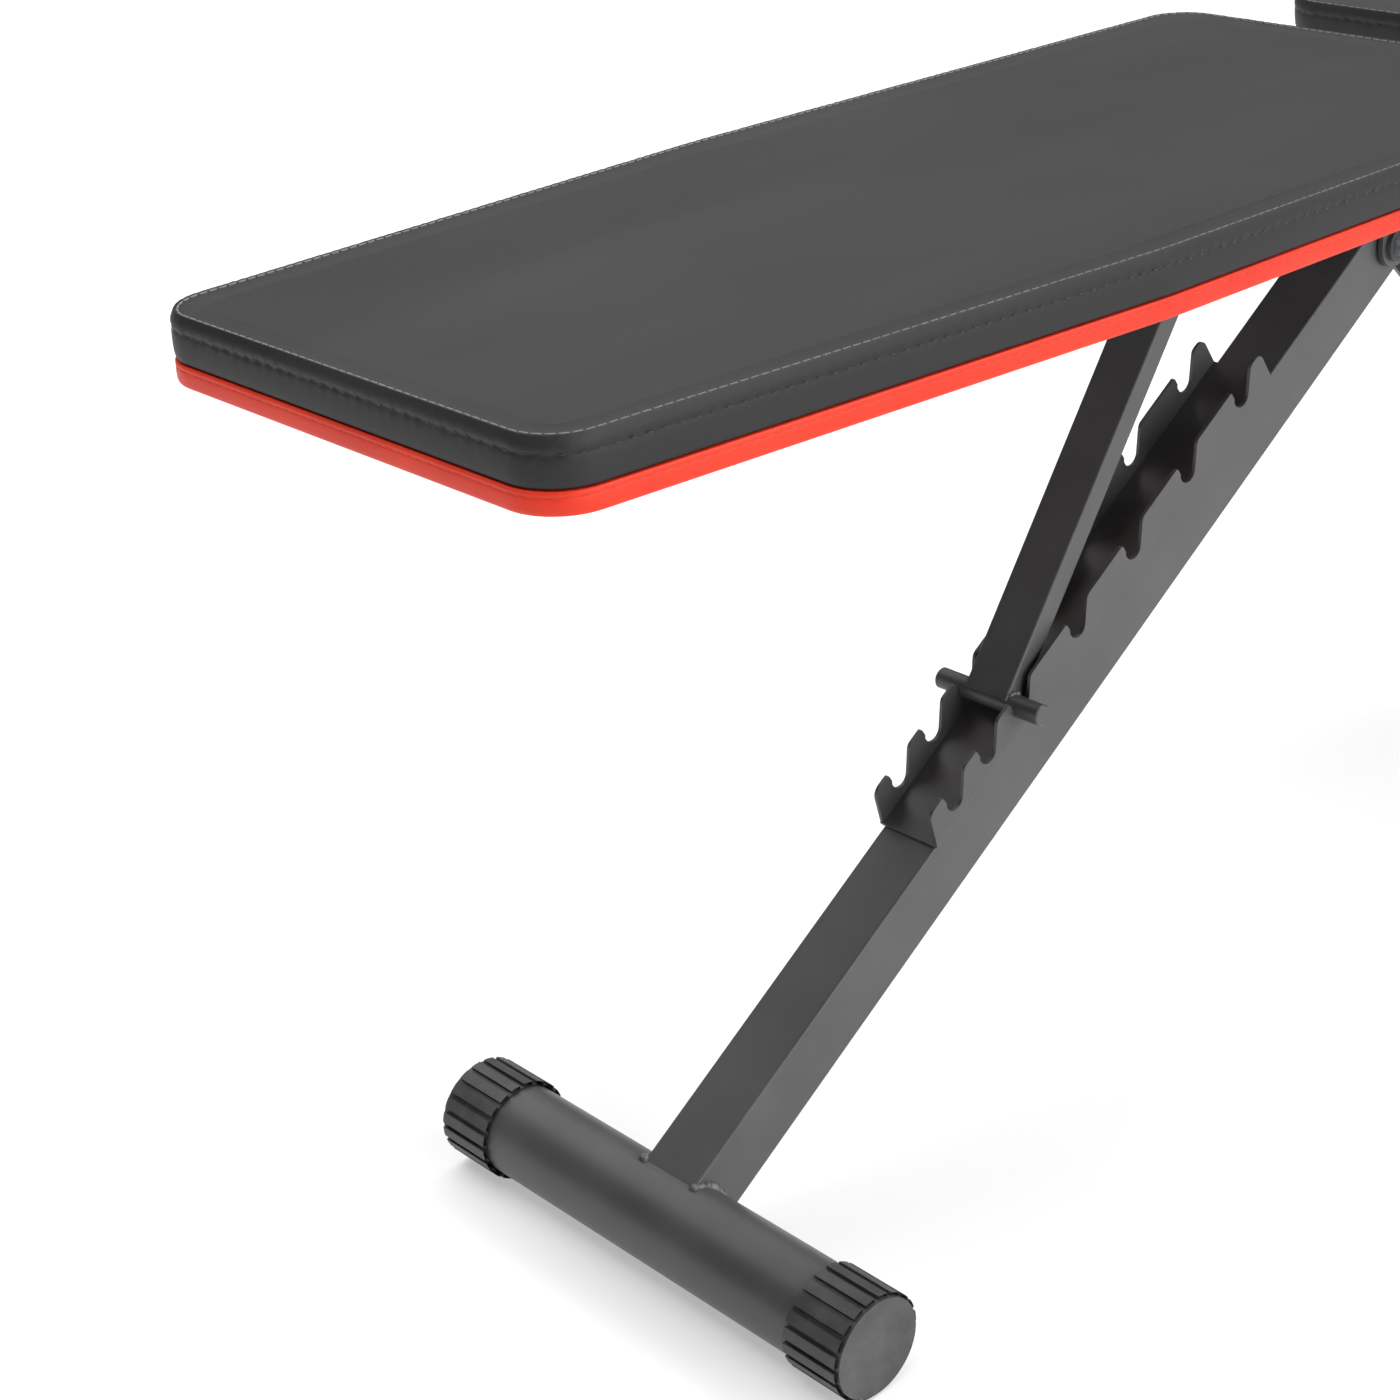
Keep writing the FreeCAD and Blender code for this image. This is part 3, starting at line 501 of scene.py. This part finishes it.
def simulateCushion(block):
    # pressed from inside, and then eased so that the firm pad rises no more than "furthest"
    press = {"pressure": 4.0, "frames": 20, "stretch": 40, "bending": 12, "furthest": 2.0 * mm}
    held = block.vertex_groups.new(name="held")
    for vertex in block.data.vertices:
        # the underside and the sides, which the side panel covers, are held, and the top is free
        held.add([vertex.index], max(0.0, min(1.0, 1.6 - 2 * vertex.normal.z)), "REPLACE")
    start = [vertex.co.copy() for vertex in block.data.vertices]
    makeActive(block)
    bpy.ops.object.modifier_add(type="CLOTH")
    cloth = block.modifiers[-1]
    cloth.settings.use_pressure = True
    cloth.settings.uniform_pressure_force = press["pressure"]
    cloth.settings.effector_weights.gravity = 0
    cloth.settings.vertex_group_mass = "held"
    cloth.settings.tension_stiffness = press["stretch"]
    cloth.settings.compression_stiffness = press["stretch"]
    cloth.settings.bending_stiffness = press["bending"]
    cloth.point_cache.frame_start = 1
    cloth.point_cache.frame_end = press["frames"]
    for number in range(1, press["frames"] + 1):
        bpy.context.scene.frame_set(number)
    bpy.ops.object.modifier_apply(modifier=cloth.name)
    moves = [vertex.co - before for vertex, before in zip(block.data.vertices, start)]
    share = min(1.0, press["furthest"] / max(move.length for move in moves))
    for vertex, before, move in zip(block.data.vertices, start, moves):
        vertex.co = before + move * share
    bpy.context.scene.frame_set(1)


def cushionPiece(pad, name):
    base = padShape["bandHeight"]
    top = base + padShape["cushionHeight"] - padShape["bodyTopDrop"]
    low = base + padShape["bodyLow"]
    block = padBlock(pad, padShape["bodyInset"], low, top, name)
    roundRim(block, top, padShape["edge"], padShape["topSteps"])
    roundRim(block, low, padShape["edge"], padShape["lowSteps"])
    remesh = block.modifiers.new("Remesh", "REMESH")
    remesh.mode = "VOXEL"
    remesh.voxel_size = padShape["voxel"]
    applyAll(block)
    simulateCushion(block)
    relax = block.modifiers.new("Relax", "SMOOTH")
    relax.iterations = padShape["relaxTimes"]
    relax.factor = padShape["relaxShare"]
    finer = block.modifiers.new("Finer", "SUBSURF")
    finer.levels = finer.render_levels = 1
    applyAll(block)
    block.matrix_world = padPlace(pad)
    settle(block, name)
    smooth(block, 180)
    finishPiece(block, pad["body"], "black_vinyl", [pad["cushion"]])
    return block


def sweptRing(pad, name, profile, spacing):
    # a closed strip: the profile's points are (inset from the outline, height above the board's underside)
    profileCurve = bpy.data.curves.new(name + "Profile", "CURVE")
    profileCurve.dimensions = "2D"
    line = profileCurve.splines.new("POLY")
    line.points.add(len(profile) - 1)
    for spot, (inset, height) in zip(line.points, profile):
        spot.co = (inset * mm, height * mm, 0, 1)
    line.use_cyclic_u = True
    section = bpy.data.objects.new(name + "Profile", profileCurve)
    bpy.context.scene.collection.objects.link(section)
    pathCurve = bpy.data.curves.new(name, "CURVE")
    pathCurve.dimensions = "2D"
    points = outlinePoints(pad, 0, spacing)
    path = pathCurve.splines.new("POLY")
    path.points.add(len(points) - 1)
    for spot, point in zip(path.points, points):
        spot.co = (point.x, point.y, 0, 1)
    path.use_cyclic_u = True
    pathCurve.bevel_mode = "OBJECT"
    pathCurve.bevel_object = section
    strip = bpy.data.objects.new(name, pathCurve)
    bpy.context.scene.collection.objects.link(strip)
    makeActive(strip)
    bpy.ops.object.convert(target="MESH")
    strip = bpy.context.object
    bpy.data.objects.remove(section)
    editMesh(strip)
    bpy.ops.mesh.select_all(action="SELECT")
    bpy.ops.mesh.remove_doubles(threshold=hair)
    bpy.ops.mesh.normals_make_consistent(inside=False)
    leaveEdit()
    return strip, points


def pucker(strip, points, spacing, row):
    # stitches pull the cover in, with small uneven wrinkles between them
    wrinkle = {"long": 0.45 * row["pitch"], "high": 2.5 * mm, "share": 0.7, "unevenOver": 3.2 * row["pitch"]}
    finder = kdtree.KDTree(len(points))
    for i, point in enumerate(points):
        finder.insert((point.x, point.y, 0), i)
    finder.balance()
    moves = []
    for vertex in strip.data.vertices:
        level = (vertex.co.z - row["height"]) / row["reach"]
        if abs(level) > 1:
            continue
        if row["wallOnly"] and vertex.normal.xy.length < 0.3:
            continue
        number, inward = finder.find((vertex.co.x, vertex.co.y, 0))[1:]
        along = number * spacing
        # the last number of each Vector only picks another slice of the noise
        pull = 0.5 + 0.5 * math.cos(2 * math.pi * along / row["pitch"])
        uneven = 0.6 + 0.8 * noise.noise(Vector((along / wrinkle["unevenOver"], row["height"] / mm, 4.0)))
        fold = noise.noise(Vector((along / wrinkle["long"], vertex.co.z / wrinkle["high"], 9.0)))
        fade = (1 - level * level) ** 2 * max(0, min(1, 2 - inward / row["inward"]))
        depth = row["depth"] * fade * (pull * uneven + wrinkle["share"] * fold)
        moves.append((vertex, -vertex.normal * depth))
    for vertex, move in moves:
        vertex.co += move


def sidePanel(pad, name):
    # boxing strip: a tucked lower edge, a top-stitched row, the raised seam and the top panel's border
    shape = {
        "profile": [
            (6.0, 10.5), (1.6, 10.5), (0.9, 11.1), (0.45, 12.2), (0.15, 14.2), (0.0, 17.0), (0.0, 20.0),
            (0.05, 22.4), (0.2, 23.6), (0.45, 24.5), (0.55, 25.0), (0.45, 25.5), (0.2, 26.2), (0.1, 27.0),
            (0.25, 28.2), (0.65, 29.5), (1.15, 30.7), (1.65, 31.8), (2.05, 32.6), (2.45, 32.95), (2.9, 32.8),
            (3.35, 32.0), (3.8, 31.6), (4.25, 31.95), (4.8, 32.3), (5.6, 32.4), (8.0, 32.4), (11.0, 32.25),
            (14.0, 32.05), (17.0, 31.8), (20.0, 31.45), (20.0, 28.5), (7.0, 26.0), (7.0, 18.0)],
        "spacing": 1.5 * mm,
        "wallRow": {"height": 25.0 * mm, "reach": 4.5 * mm, "inward": 4.5 * mm, "pitch": 8.0 * mm,
                    "depth": 0.45 * mm, "wallOnly": True},
        "topSeam": {"height": 32.2 * mm, "reach": 1.8 * mm, "inward": 4.5 * mm, "pitch": 5.5 * mm,
                    "depth": 0.3 * mm, "wallOnly": False},
    }
    strip, points = sweptRing(pad, name, shape["profile"], shape["spacing"])
    pucker(strip, points, shape["spacing"], shape["wallRow"])
    pucker(strip, points, shape["spacing"], shape["topSeam"])
    strip.matrix_world = padPlace(pad)
    settle(strip, name)
    smooth(strip, 180)
    return finishPiece(strip, pad["body"], "black_vinyl")


def bandPiece(pad, name):
    # vinyl strip round the board's edge, sunk at its stitching and folded flat under the board
    shape = {
        "profile": [
            (17.0, 0.0), (17.0, -0.45), (16.6, -0.7), (2.4, -0.7), (1.3, -0.55), (0.6, -0.05), (0.2, 0.8),
            (0.0, 2.2), (-0.1, 4.4), (-0.05, 6.4), (0.1, 7.1), (0.28, 7.5), (0.1, 7.9), (0.0, 8.6),
            (0.12, 9.3), (0.5, 9.8), (1.1, 10.0), (5.0, 10.0), (5.0, 9.0), (2.5, 9.0), (2.5, 0.0)],
        "spacing": 3 * mm,
    }
    strip = sweptRing(pad, name, shape["profile"], shape["spacing"])[0]
    strip.matrix_world = padPlace(pad)
    settle(strip, name)
    smooth(strip, 60)
    return finishPiece(strip, pad["body"], "red_vinyl", [pad["band"]])


def stitchRow(pad, name, shape, material, slotName):
    # one thread stitch, arrayed along the seam
    place = padPlace(pad)
    outline = outlinePoints(pad, shape["inset"], 2 * mm)
    points = [place @ Vector((spot.x, spot.y, shape["height"])) for spot in outline]
    curve = bpy.data.curves.new(name + "Path", "CURVE")
    curve.dimensions = "3D"
    curve.twist_mode = "Z_UP"
    spline = curve.splines.new("POLY")
    spline.points.add(len(points) - 1)
    for spot, point in zip(spline.points, points):
        spot.co = (*point, 1)
    spline.use_cyclic_u = True
    path = bpy.data.objects.new(name + "Path", curve)
    bpy.context.scene.collection.objects.link(path)
    deselectAll()
    length, radius = shape["length"], shape["radius"]
    end = {"narrower": 0.45, "longer": 1.12}
    bpy.ops.mesh.primitive_cylinder_add(vertices=6, radius=radius, depth=length, location=(length / 2, 0, 0),
                                        rotation=(0, math.pi / 2, 0))
    stitch = settle(bpy.context.object, name)
    # the ends taper to where the thread dives into its hole
    editMesh(stitch)
    pick(stitch, "FACE", lambda f: abs(f.normal.x) > 0.9)
    bpy.ops.mesh.inset(thickness=radius * end["narrower"])
    bpy.ops.transform.resize(value=(end["longer"], 1, 1), center_override=(length / 2, 0, 0))
    leaveEdit()
    total = sum((points[i] - points[i - 1]).length for i in range(len(points)))
    array = stitch.modifiers.new("Row", "ARRAY")
    array.count = int(total / shape["pitch"])
    array.use_relative_offset = False
    array.use_constant_offset = True
    array.constant_offset_displace = (total / array.count, 0, 0)
    bend = stitch.modifiers.new("Follow", "CURVE")
    bend.object = path
    bend.deform_axis = "POS_X"
    applyAll(stitch)
    bpy.data.objects.remove(path)
    smooth(stitch, 60)
    return finishPiece(stitch, pad["body"], slotName, material=material)


def makePad(pad, stem):
    # each row's place on the pad, and its stitch
    rows = (
        # the seam's pale thread is partly painted highlight
        ("SeamStitch", seamHighlightThread, "black_vinyl", {
            "inset": 3.75 * mm, "height": 32.1 * mm,
            "pitch": 5.5 * mm, "length": 4.0 * mm, "radius": 0.6 * mm}),
        ("SideStitch", darkThread, "black_vinyl", {
            "inset": 0.6 * mm, "height": 25.0 * mm,
            "pitch": 8.0 * mm, "length": 2.4 * mm, "radius": 0.3 * mm}),
        ("BandStitch", redThread, "red_vinyl", {
            "inset": 0.25 * mm, "height": 7.5 * mm,
            "pitch": 6.5 * mm, "length": 3.6 * mm, "radius": 0.27 * mm}))
    cushionPiece(pad, stem + "Cushion")
    sidePanel(pad, stem + "SidePanel")
    bandPiece(pad, stem + "Band")
    for name, thread, slotName, stitch in rows:
        stitchRow(pad, stem + name, stitch, thread, slotName)
    print(stem, "pad made")


makePad(backPad, "back")
makePad(seatPad, "seat")


def ribbedSleeve(cap, radius, length):
    # cylinder whose every third strip is pushed in, leaving standing ribs, then hollowed
    strips = 3 * cap["ribs"]
    bpy.ops.mesh.primitive_cylinder_add(vertices=strips, radius=radius, depth=length, end_fill_type="NOTHING",
                                        location=(0, 0, length / 2))
    sleeve = bpy.context.object
    editMesh(sleeve)
    step = 2 * math.pi / strips
    inGroove = lambda f: int(math.atan2(f.calc_center_median().y, f.calc_center_median().x) // step) % 3 == 0
    pick(sleeve, "FACE", inGroove)
    bpy.ops.mesh.extrude_region_shrink_fatten(TRANSFORM_OT_shrink_fatten={"value": -cap["grooveDepth"]})
    pick(sleeve, "FACE", lambda f: abs(f.normal.z) > 0.9)
    bpy.ops.mesh.delete(type="FACE")
    for height in (0, length):
        # a ring face joins the ribbed rim to the bore
        isOpen = lambda e: len(e.link_faces) < 2 and abs(edgeMiddle(e).z - height) < hair
        pick(sleeve, "EDGE", isOpen)
        rimCount = sum(v.select for v in bmesh.from_edit_mesh(sleeve.data).verts)
        bpy.ops.mesh.primitive_circle_add(vertices=rimCount, radius=radius - cap["wall"],
                                          location=(0, 0, height))
        pick(sleeve, "EDGE", isOpen)
        bpy.ops.mesh.bridge_edge_loops()
    pick(sleeve, "EDGE", lambda e: len(e.link_faces) == 1)
    bpy.ops.mesh.bridge_edge_loops()
    isOuter = lambda e: edgeMiddle(e).xy.length > radius - cap["outerBy"]
    pick(sleeve, "EDGE", lambda e: abs(edgeMiddle(e).z - length) < hair and isOuter(e))
    bpy.ops.mesh.bevel(offset=cap["ribEdge"], segments=cap["ribEdgeSteps"], affect="EDGES")
    bpy.ops.mesh.select_all(action="SELECT")
    bpy.ops.mesh.normals_make_consistent(inside=False)
    leaveEdit()
    return sleeve


def endDisc(cap, radius, low, high):
    # the cap's closed end: slightly dished inside a narrow rim
    bpy.ops.mesh.primitive_cylinder_add(vertices=cap["discSides"], radius=radius, depth=high - low,
                                        location=(0, 0, (low + high) / 2))
    disc = bpy.context.object
    editMesh(disc)
    pick(disc, "FACE", lambda f: f.normal.z > 0.9)
    bpy.ops.mesh.inset(thickness=cap["rimWidth"])
    bpy.ops.transform.translate(value=(0, 0, -cap["dish"]))
    isOuter = lambda e: edgeMiddle(e).xy.length > radius - cap["outerBy"]
    pick(disc, "EDGE", lambda e: isOuter(e) and abs(edgeWay(e).z) < 0.1 and edgeMiddle(e).z > high - 0.1 * mm)
    bpy.ops.mesh.bevel(offset=cap["discEdge"], segments=cap["discEdgeSteps"], affect="EDGES")
    leaveEdit()
    return disc


def makeFootCaps(body, nodeName, name):
    # the pair of ribbed caps on one foot tube
    cap = {"length": 37 * mm, "ribs": 20, "grooveDepth": 2.0 * mm, "wall": 2.6 * mm, "ribEdge": 0.7 * mm,
           "ribEdgeSteps": 2, "endShort": 1.6 * mm, "discSmaller": 1.9 * mm, "discThick": 5 * mm,
           "discSides": 96, "rimWidth": 1.6 * mm, "dish": 0.15 * mm, "discEdge": 0.8 * mm,
           "discEdgeSteps": 3, "outerBy": 0.5 * mm}
    low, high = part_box(nodeName)
    tubeLow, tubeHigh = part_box(nodeName.replace("caps", "tube"))
    radius = (high.z - low.z) / 2
    length = cap["length"]
    sleeve = ribbedSleeve(cap, radius, length - cap["endShort"])
    disc = endDisc(cap, radius - cap["discSmaller"], length - cap["discThick"], length)
    left = joinPieces([sleeve, disc], name)
    mouth = ((low.x + high.x) / 2, high.y - length, (tubeLow.z + tubeHigh.z) / 2)
    left.matrix_world = Matrix.Translation(mouth) @ Matrix.Rotation(-math.pi / 2, 4, "X")
    settle(left, name)
    right = copyOf(left, Matrix.Scale(-1, 4, (0, 1, 0)))
    pair = joinPieces([left, right], name)
    smooth(pair, 25)
    return finishPiece(pair, body, "cap_plastic", [nodeName])


makeFootCaps("rear_frame", "rear_foot_caps", "rearCaps")
makeFootCaps("front_frame", "front_foot_caps", "frontCaps")
print("foot caps made")


# where each pair of beads runs: round which bar, how far out, and between which angles in degrees
legWelds = (
    {"body": "rear_frame", "node": "rear_leg_welds", "name": "rearLegWelds", "bar": "rear_foot_tube",
     "reach": 26 * mm, "side": 19.3 * mm, "middle": 34.0, "halfTurn": 47.0, "drop": 3.0 * mm, "drops": 10},
    {"body": "front_frame", "node": "front_leg_welds", "name": "frontLegWelds", "bar": "front_foot_tube",
     "reach": 26 * mm, "side": 15.8 * mm, "middle": 133.2, "halfTurn": 50.3, "drop": 3.0 * mm, "drops": 11},
    {"body": "prop_strut", "node": "strut_welds", "name": "strutWelds", "bar": "cross_bar",
     "reach": 6 * mm, "side": 15.2 * mm, "middle": 55.4, "halfTurn": 49.0, "drop": 1.9 * mm, "drops": 5},
)
beadShape = {"uneven": 0.35, "voxelShare": 5, "flowTimes": 2, "flowShare": 0.5}


def makeWelds(weld):
    # drops of weld metal along each side of the joint, melted into one rippled bead
    low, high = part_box(weld["bar"])
    middle = math.radians(weld["middle"])
    drops = []
    for side in (-1, 1):
        for k in range(weld["drops"]):
            share = 2 * k / (weld["drops"] - 1) - 1
            angle = middle + share * math.radians(weld["halfTurn"])
            uneven = beadShape["uneven"] * noise.noise(Vector((1.7 * k, 5.0 * side, middle)))
            spot = ((low.x + high.x) / 2 + weld["reach"] * math.cos(angle), side * weld["side"],
                    (low.z + high.z) / 2 + weld["reach"] * math.sin(angle))
            bpy.ops.mesh.primitive_uv_sphere_add(segments=12, ring_count=8, location=spot,
                                                 radius=weld["drop"] * (1 + uneven))
            drops.append(bpy.context.object)
    bead = joinPieces(drops, weld["name"])
    melt = bead.modifiers.new("Melt", "REMESH")
    melt.mode = "VOXEL"
    melt.voxel_size = weld["drop"] / beadShape["voxelShare"]
    flow = bead.modifiers.new("Flow", "SMOOTH")
    flow.iterations = beadShape["flowTimes"]
    flow.factor = beadShape["flowShare"]
    applyAll(bead)
    smooth(bead, 180)
    return finishPiece(bead, weld["body"], "powder_coat", [weld["node"]], weldPaint)


for weld in legWelds:
    makeWelds(weld)
print("welds made")


def makeRoller(body, nodeName, name):
    # foam sleeve cut from a long tube: soft rims, a little uneven along its length
    foam = {"bore": 12.55 * mm, "rim": 4 * mm, "rimSteps": 5, "boreRim": 0.8 * mm, "boreRimSteps": 2,
            "sides": 72, "rings": 14, "uneven": 0.35 * mm, "unevenOver": 14 * mm, "outerBy": 0.5 * mm}
    low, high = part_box(nodeName)
    centre = (low + high) / 2
    radius = (high.x - low.x) / 2 - foam["uneven"] / 2
    bpy.ops.mesh.primitive_cylinder_add(vertices=foam["sides"], radius=radius, depth=high.y - low.y,
                                        location=centre, rotation=(math.pi / 2, 0, 0))
    roller = settle(bpy.context.object, name)
    fromAxis = lambda p: math.hypot(p.x - centre.x, p.z - centre.z)
    isOuter = lambda e: fromAxis(edgeMiddle(e)) > radius - foam["outerBy"]
    isBore = lambda e: fromAxis(edgeMiddle(e)) < foam["bore"] + 0.1 * mm
    isRing = lambda e: abs(edgeWay(e).y) < 0.1
    editMesh(roller)
    pick(roller, "FACE", lambda f: abs(f.normal.y) > 0.9)
    bpy.ops.mesh.inset(thickness=radius - foam["bore"])
    bpy.ops.mesh.delete(type="FACE")
    pick(roller, "EDGE", lambda e: len(e.link_faces) == 1)
    bpy.ops.mesh.bridge_edge_loops()
    pick(roller, "EDGE", lambda e: isRing(e) and isOuter(e))
    bpy.ops.mesh.bevel(offset=foam["rim"], segments=foam["rimSteps"], affect="EDGES")
    pick(roller, "EDGE", lambda e: isRing(e) and isBore(e))
    bpy.ops.mesh.bevel(offset=foam["boreRim"], segments=foam["boreRimSteps"], affect="EDGES")
    pick(roller, "EDGE", lambda e: abs(edgeWay(e).y) > 0.99 and isOuter(e))
    bpy.ops.mesh.subdivide(number_cuts=foam["rings"])
    bpy.ops.mesh.select_all(action="SELECT")
    bpy.ops.mesh.normals_make_consistent(inside=False)
    leaveEdit()
    for vertex in roller.data.vertices:
        if fromAxis(vertex.co) > radius - foam["rim"]:
            swell = noise.noise(vertex.co / foam["unevenOver"]) * foam["uneven"] / 2
            vertex.co += Vector((vertex.normal.x, 0, vertex.normal.z)) * swell
    smooth(roller, 50)
    finishPiece(roller, body, "foam", [nodeName])
    return roller


for level in ("upper", "lower"):
    for side in ("left", "right"):
        body = level + "_" + side + "_roller"
        makeRoller(body, level + "_foam_" + side, level + side.capitalize() + "Roller")
print("rollers made")


studio = {
    "floorSize": 30, "roomStrength": 0.07, "roomSeen": 0.92, "floorAlbedo": "d0d0d0", "floorGlow": 0.4,
    # where each far softbox shines from, how strongly, and how wide it is in degrees
    "farSoftboxes": {
        "sideSoftbox": ((0.2, -1.0, 0.22), 3.05, 60),
        "overheadSoftbox": ((0.3, 0.3, 1.0), 2.2, 80),
        "seamSoftbox": ((0.6, -0.43, 0.67), 1.3, 24),
    },
    "headPlace": (-0.7, 0.15, 1.9), "headAim": (-0.4, 0, 0.4), "headSize": 1.6, "headPower": 19,
}


def buildStage():
    bpy.ops.mesh.primitive_plane_add(size=studio["floorSize"], location=(0, 0, 0))
    floor = bpy.context.object
    floor.name = "floor"
    material = newMaterial("paleSeamlessPaper")[0]
    paper = addNode(material, "ShaderNodeBsdfPrincipled", inputs={
        "Base Color": hexColour(studio["floorAlbedo"]), "Roughness": 0.9, "Specular IOR Level": 0.2,
        "Emission Color": hexColour("ffffff"), "Emission Strength": studio["floorGlow"]})
    addNode(material, "ShaderNodeOutputMaterial", inputs={"Surface": paper.outputs["BSDF"]})
    floor.data.materials.append(material)
    world = bpy.data.worlds.new("softRoom")
    bpy.context.scene.world = world
    world.use_nodes = True
    # the room looks pale past the floor's edge, but lights the bench only faintly
    ray = addNode(world, "ShaderNodeLightPath")
    strength = addNode(world, "ShaderNodeMapRange", inputs={
        "Value": ray.outputs["Is Camera Ray"], "To Min": studio["roomStrength"],
        "To Max": studio["roomSeen"]})
    sky = world.node_tree.nodes["Background"]
    sky.inputs["Color"].default_value = hexColour("ffffff")
    world.node_tree.links.new(strength.outputs["Result"], sky.inputs["Strength"])


def placeLamp(lamp, place, aim):
    holder = bpy.data.objects.new(lamp.name, lamp)
    bpy.context.scene.collection.objects.link(holder)
    holder.location = place
    holder.rotation_euler = (Vector(place) - Vector(aim)).to_track_quat("Z", "Y").to_euler()


def buildLights():
    for name, (source, strength, softness) in studio["farSoftboxes"].items():
        sun = bpy.data.lights.new(name, "SUN")
        sun.energy = strength
        sun.angle = math.radians(softness)
        placeLamp(sun, source, (0, 0, 0))
    lamp = bpy.data.lights.new("headSoftbox", "AREA")
    lamp.shape = "DISK"
    lamp.size = studio["headSize"]
    lamp.energy = studio["headPower"]
    placeLamp(lamp, studio["headPlace"], studio["headAim"])


def buildCamera():
    # angles in degrees: azimuth 0 looks along +Y, elevation is above the horizon
    view = {"azimuth": -41.82, "elevation": 25.58, "roll": -2.84, "lens": 69.75, "sensor": 36,
            "place": (-1.1982, -0.8912, 0.8878)}
    azimuth, elevation, roll = (math.radians(view[key]) for key in ("azimuth", "elevation", "roll"))
    back = Vector((math.sin(azimuth) * math.cos(elevation), -math.cos(azimuth) * math.cos(elevation),
                   math.sin(elevation)))
    right = Vector((math.cos(azimuth), math.sin(azimuth), 0))
    up = back.cross(right)
    tiltedRight = right * math.cos(roll) + up * math.sin(roll)
    tiltedUp = up * math.cos(roll) - right * math.sin(roll)
    camera = bpy.data.cameras.new("camera")
    camera.lens = view["lens"]
    camera.sensor_width = view["sensor"]
    holder = bpy.data.objects.new("camera", camera)
    bpy.context.scene.collection.objects.link(holder)
    turn = Matrix((tiltedRight, tiltedUp, back)).transposed().to_4x4()
    holder.matrix_world = Matrix.Translation(view["place"]) @ turn
    bpy.context.scene.camera = holder


buildStage()
buildLights()
buildCamera()
bpy.context.scene.view_settings.view_transform = "Standard"
print("stage made")
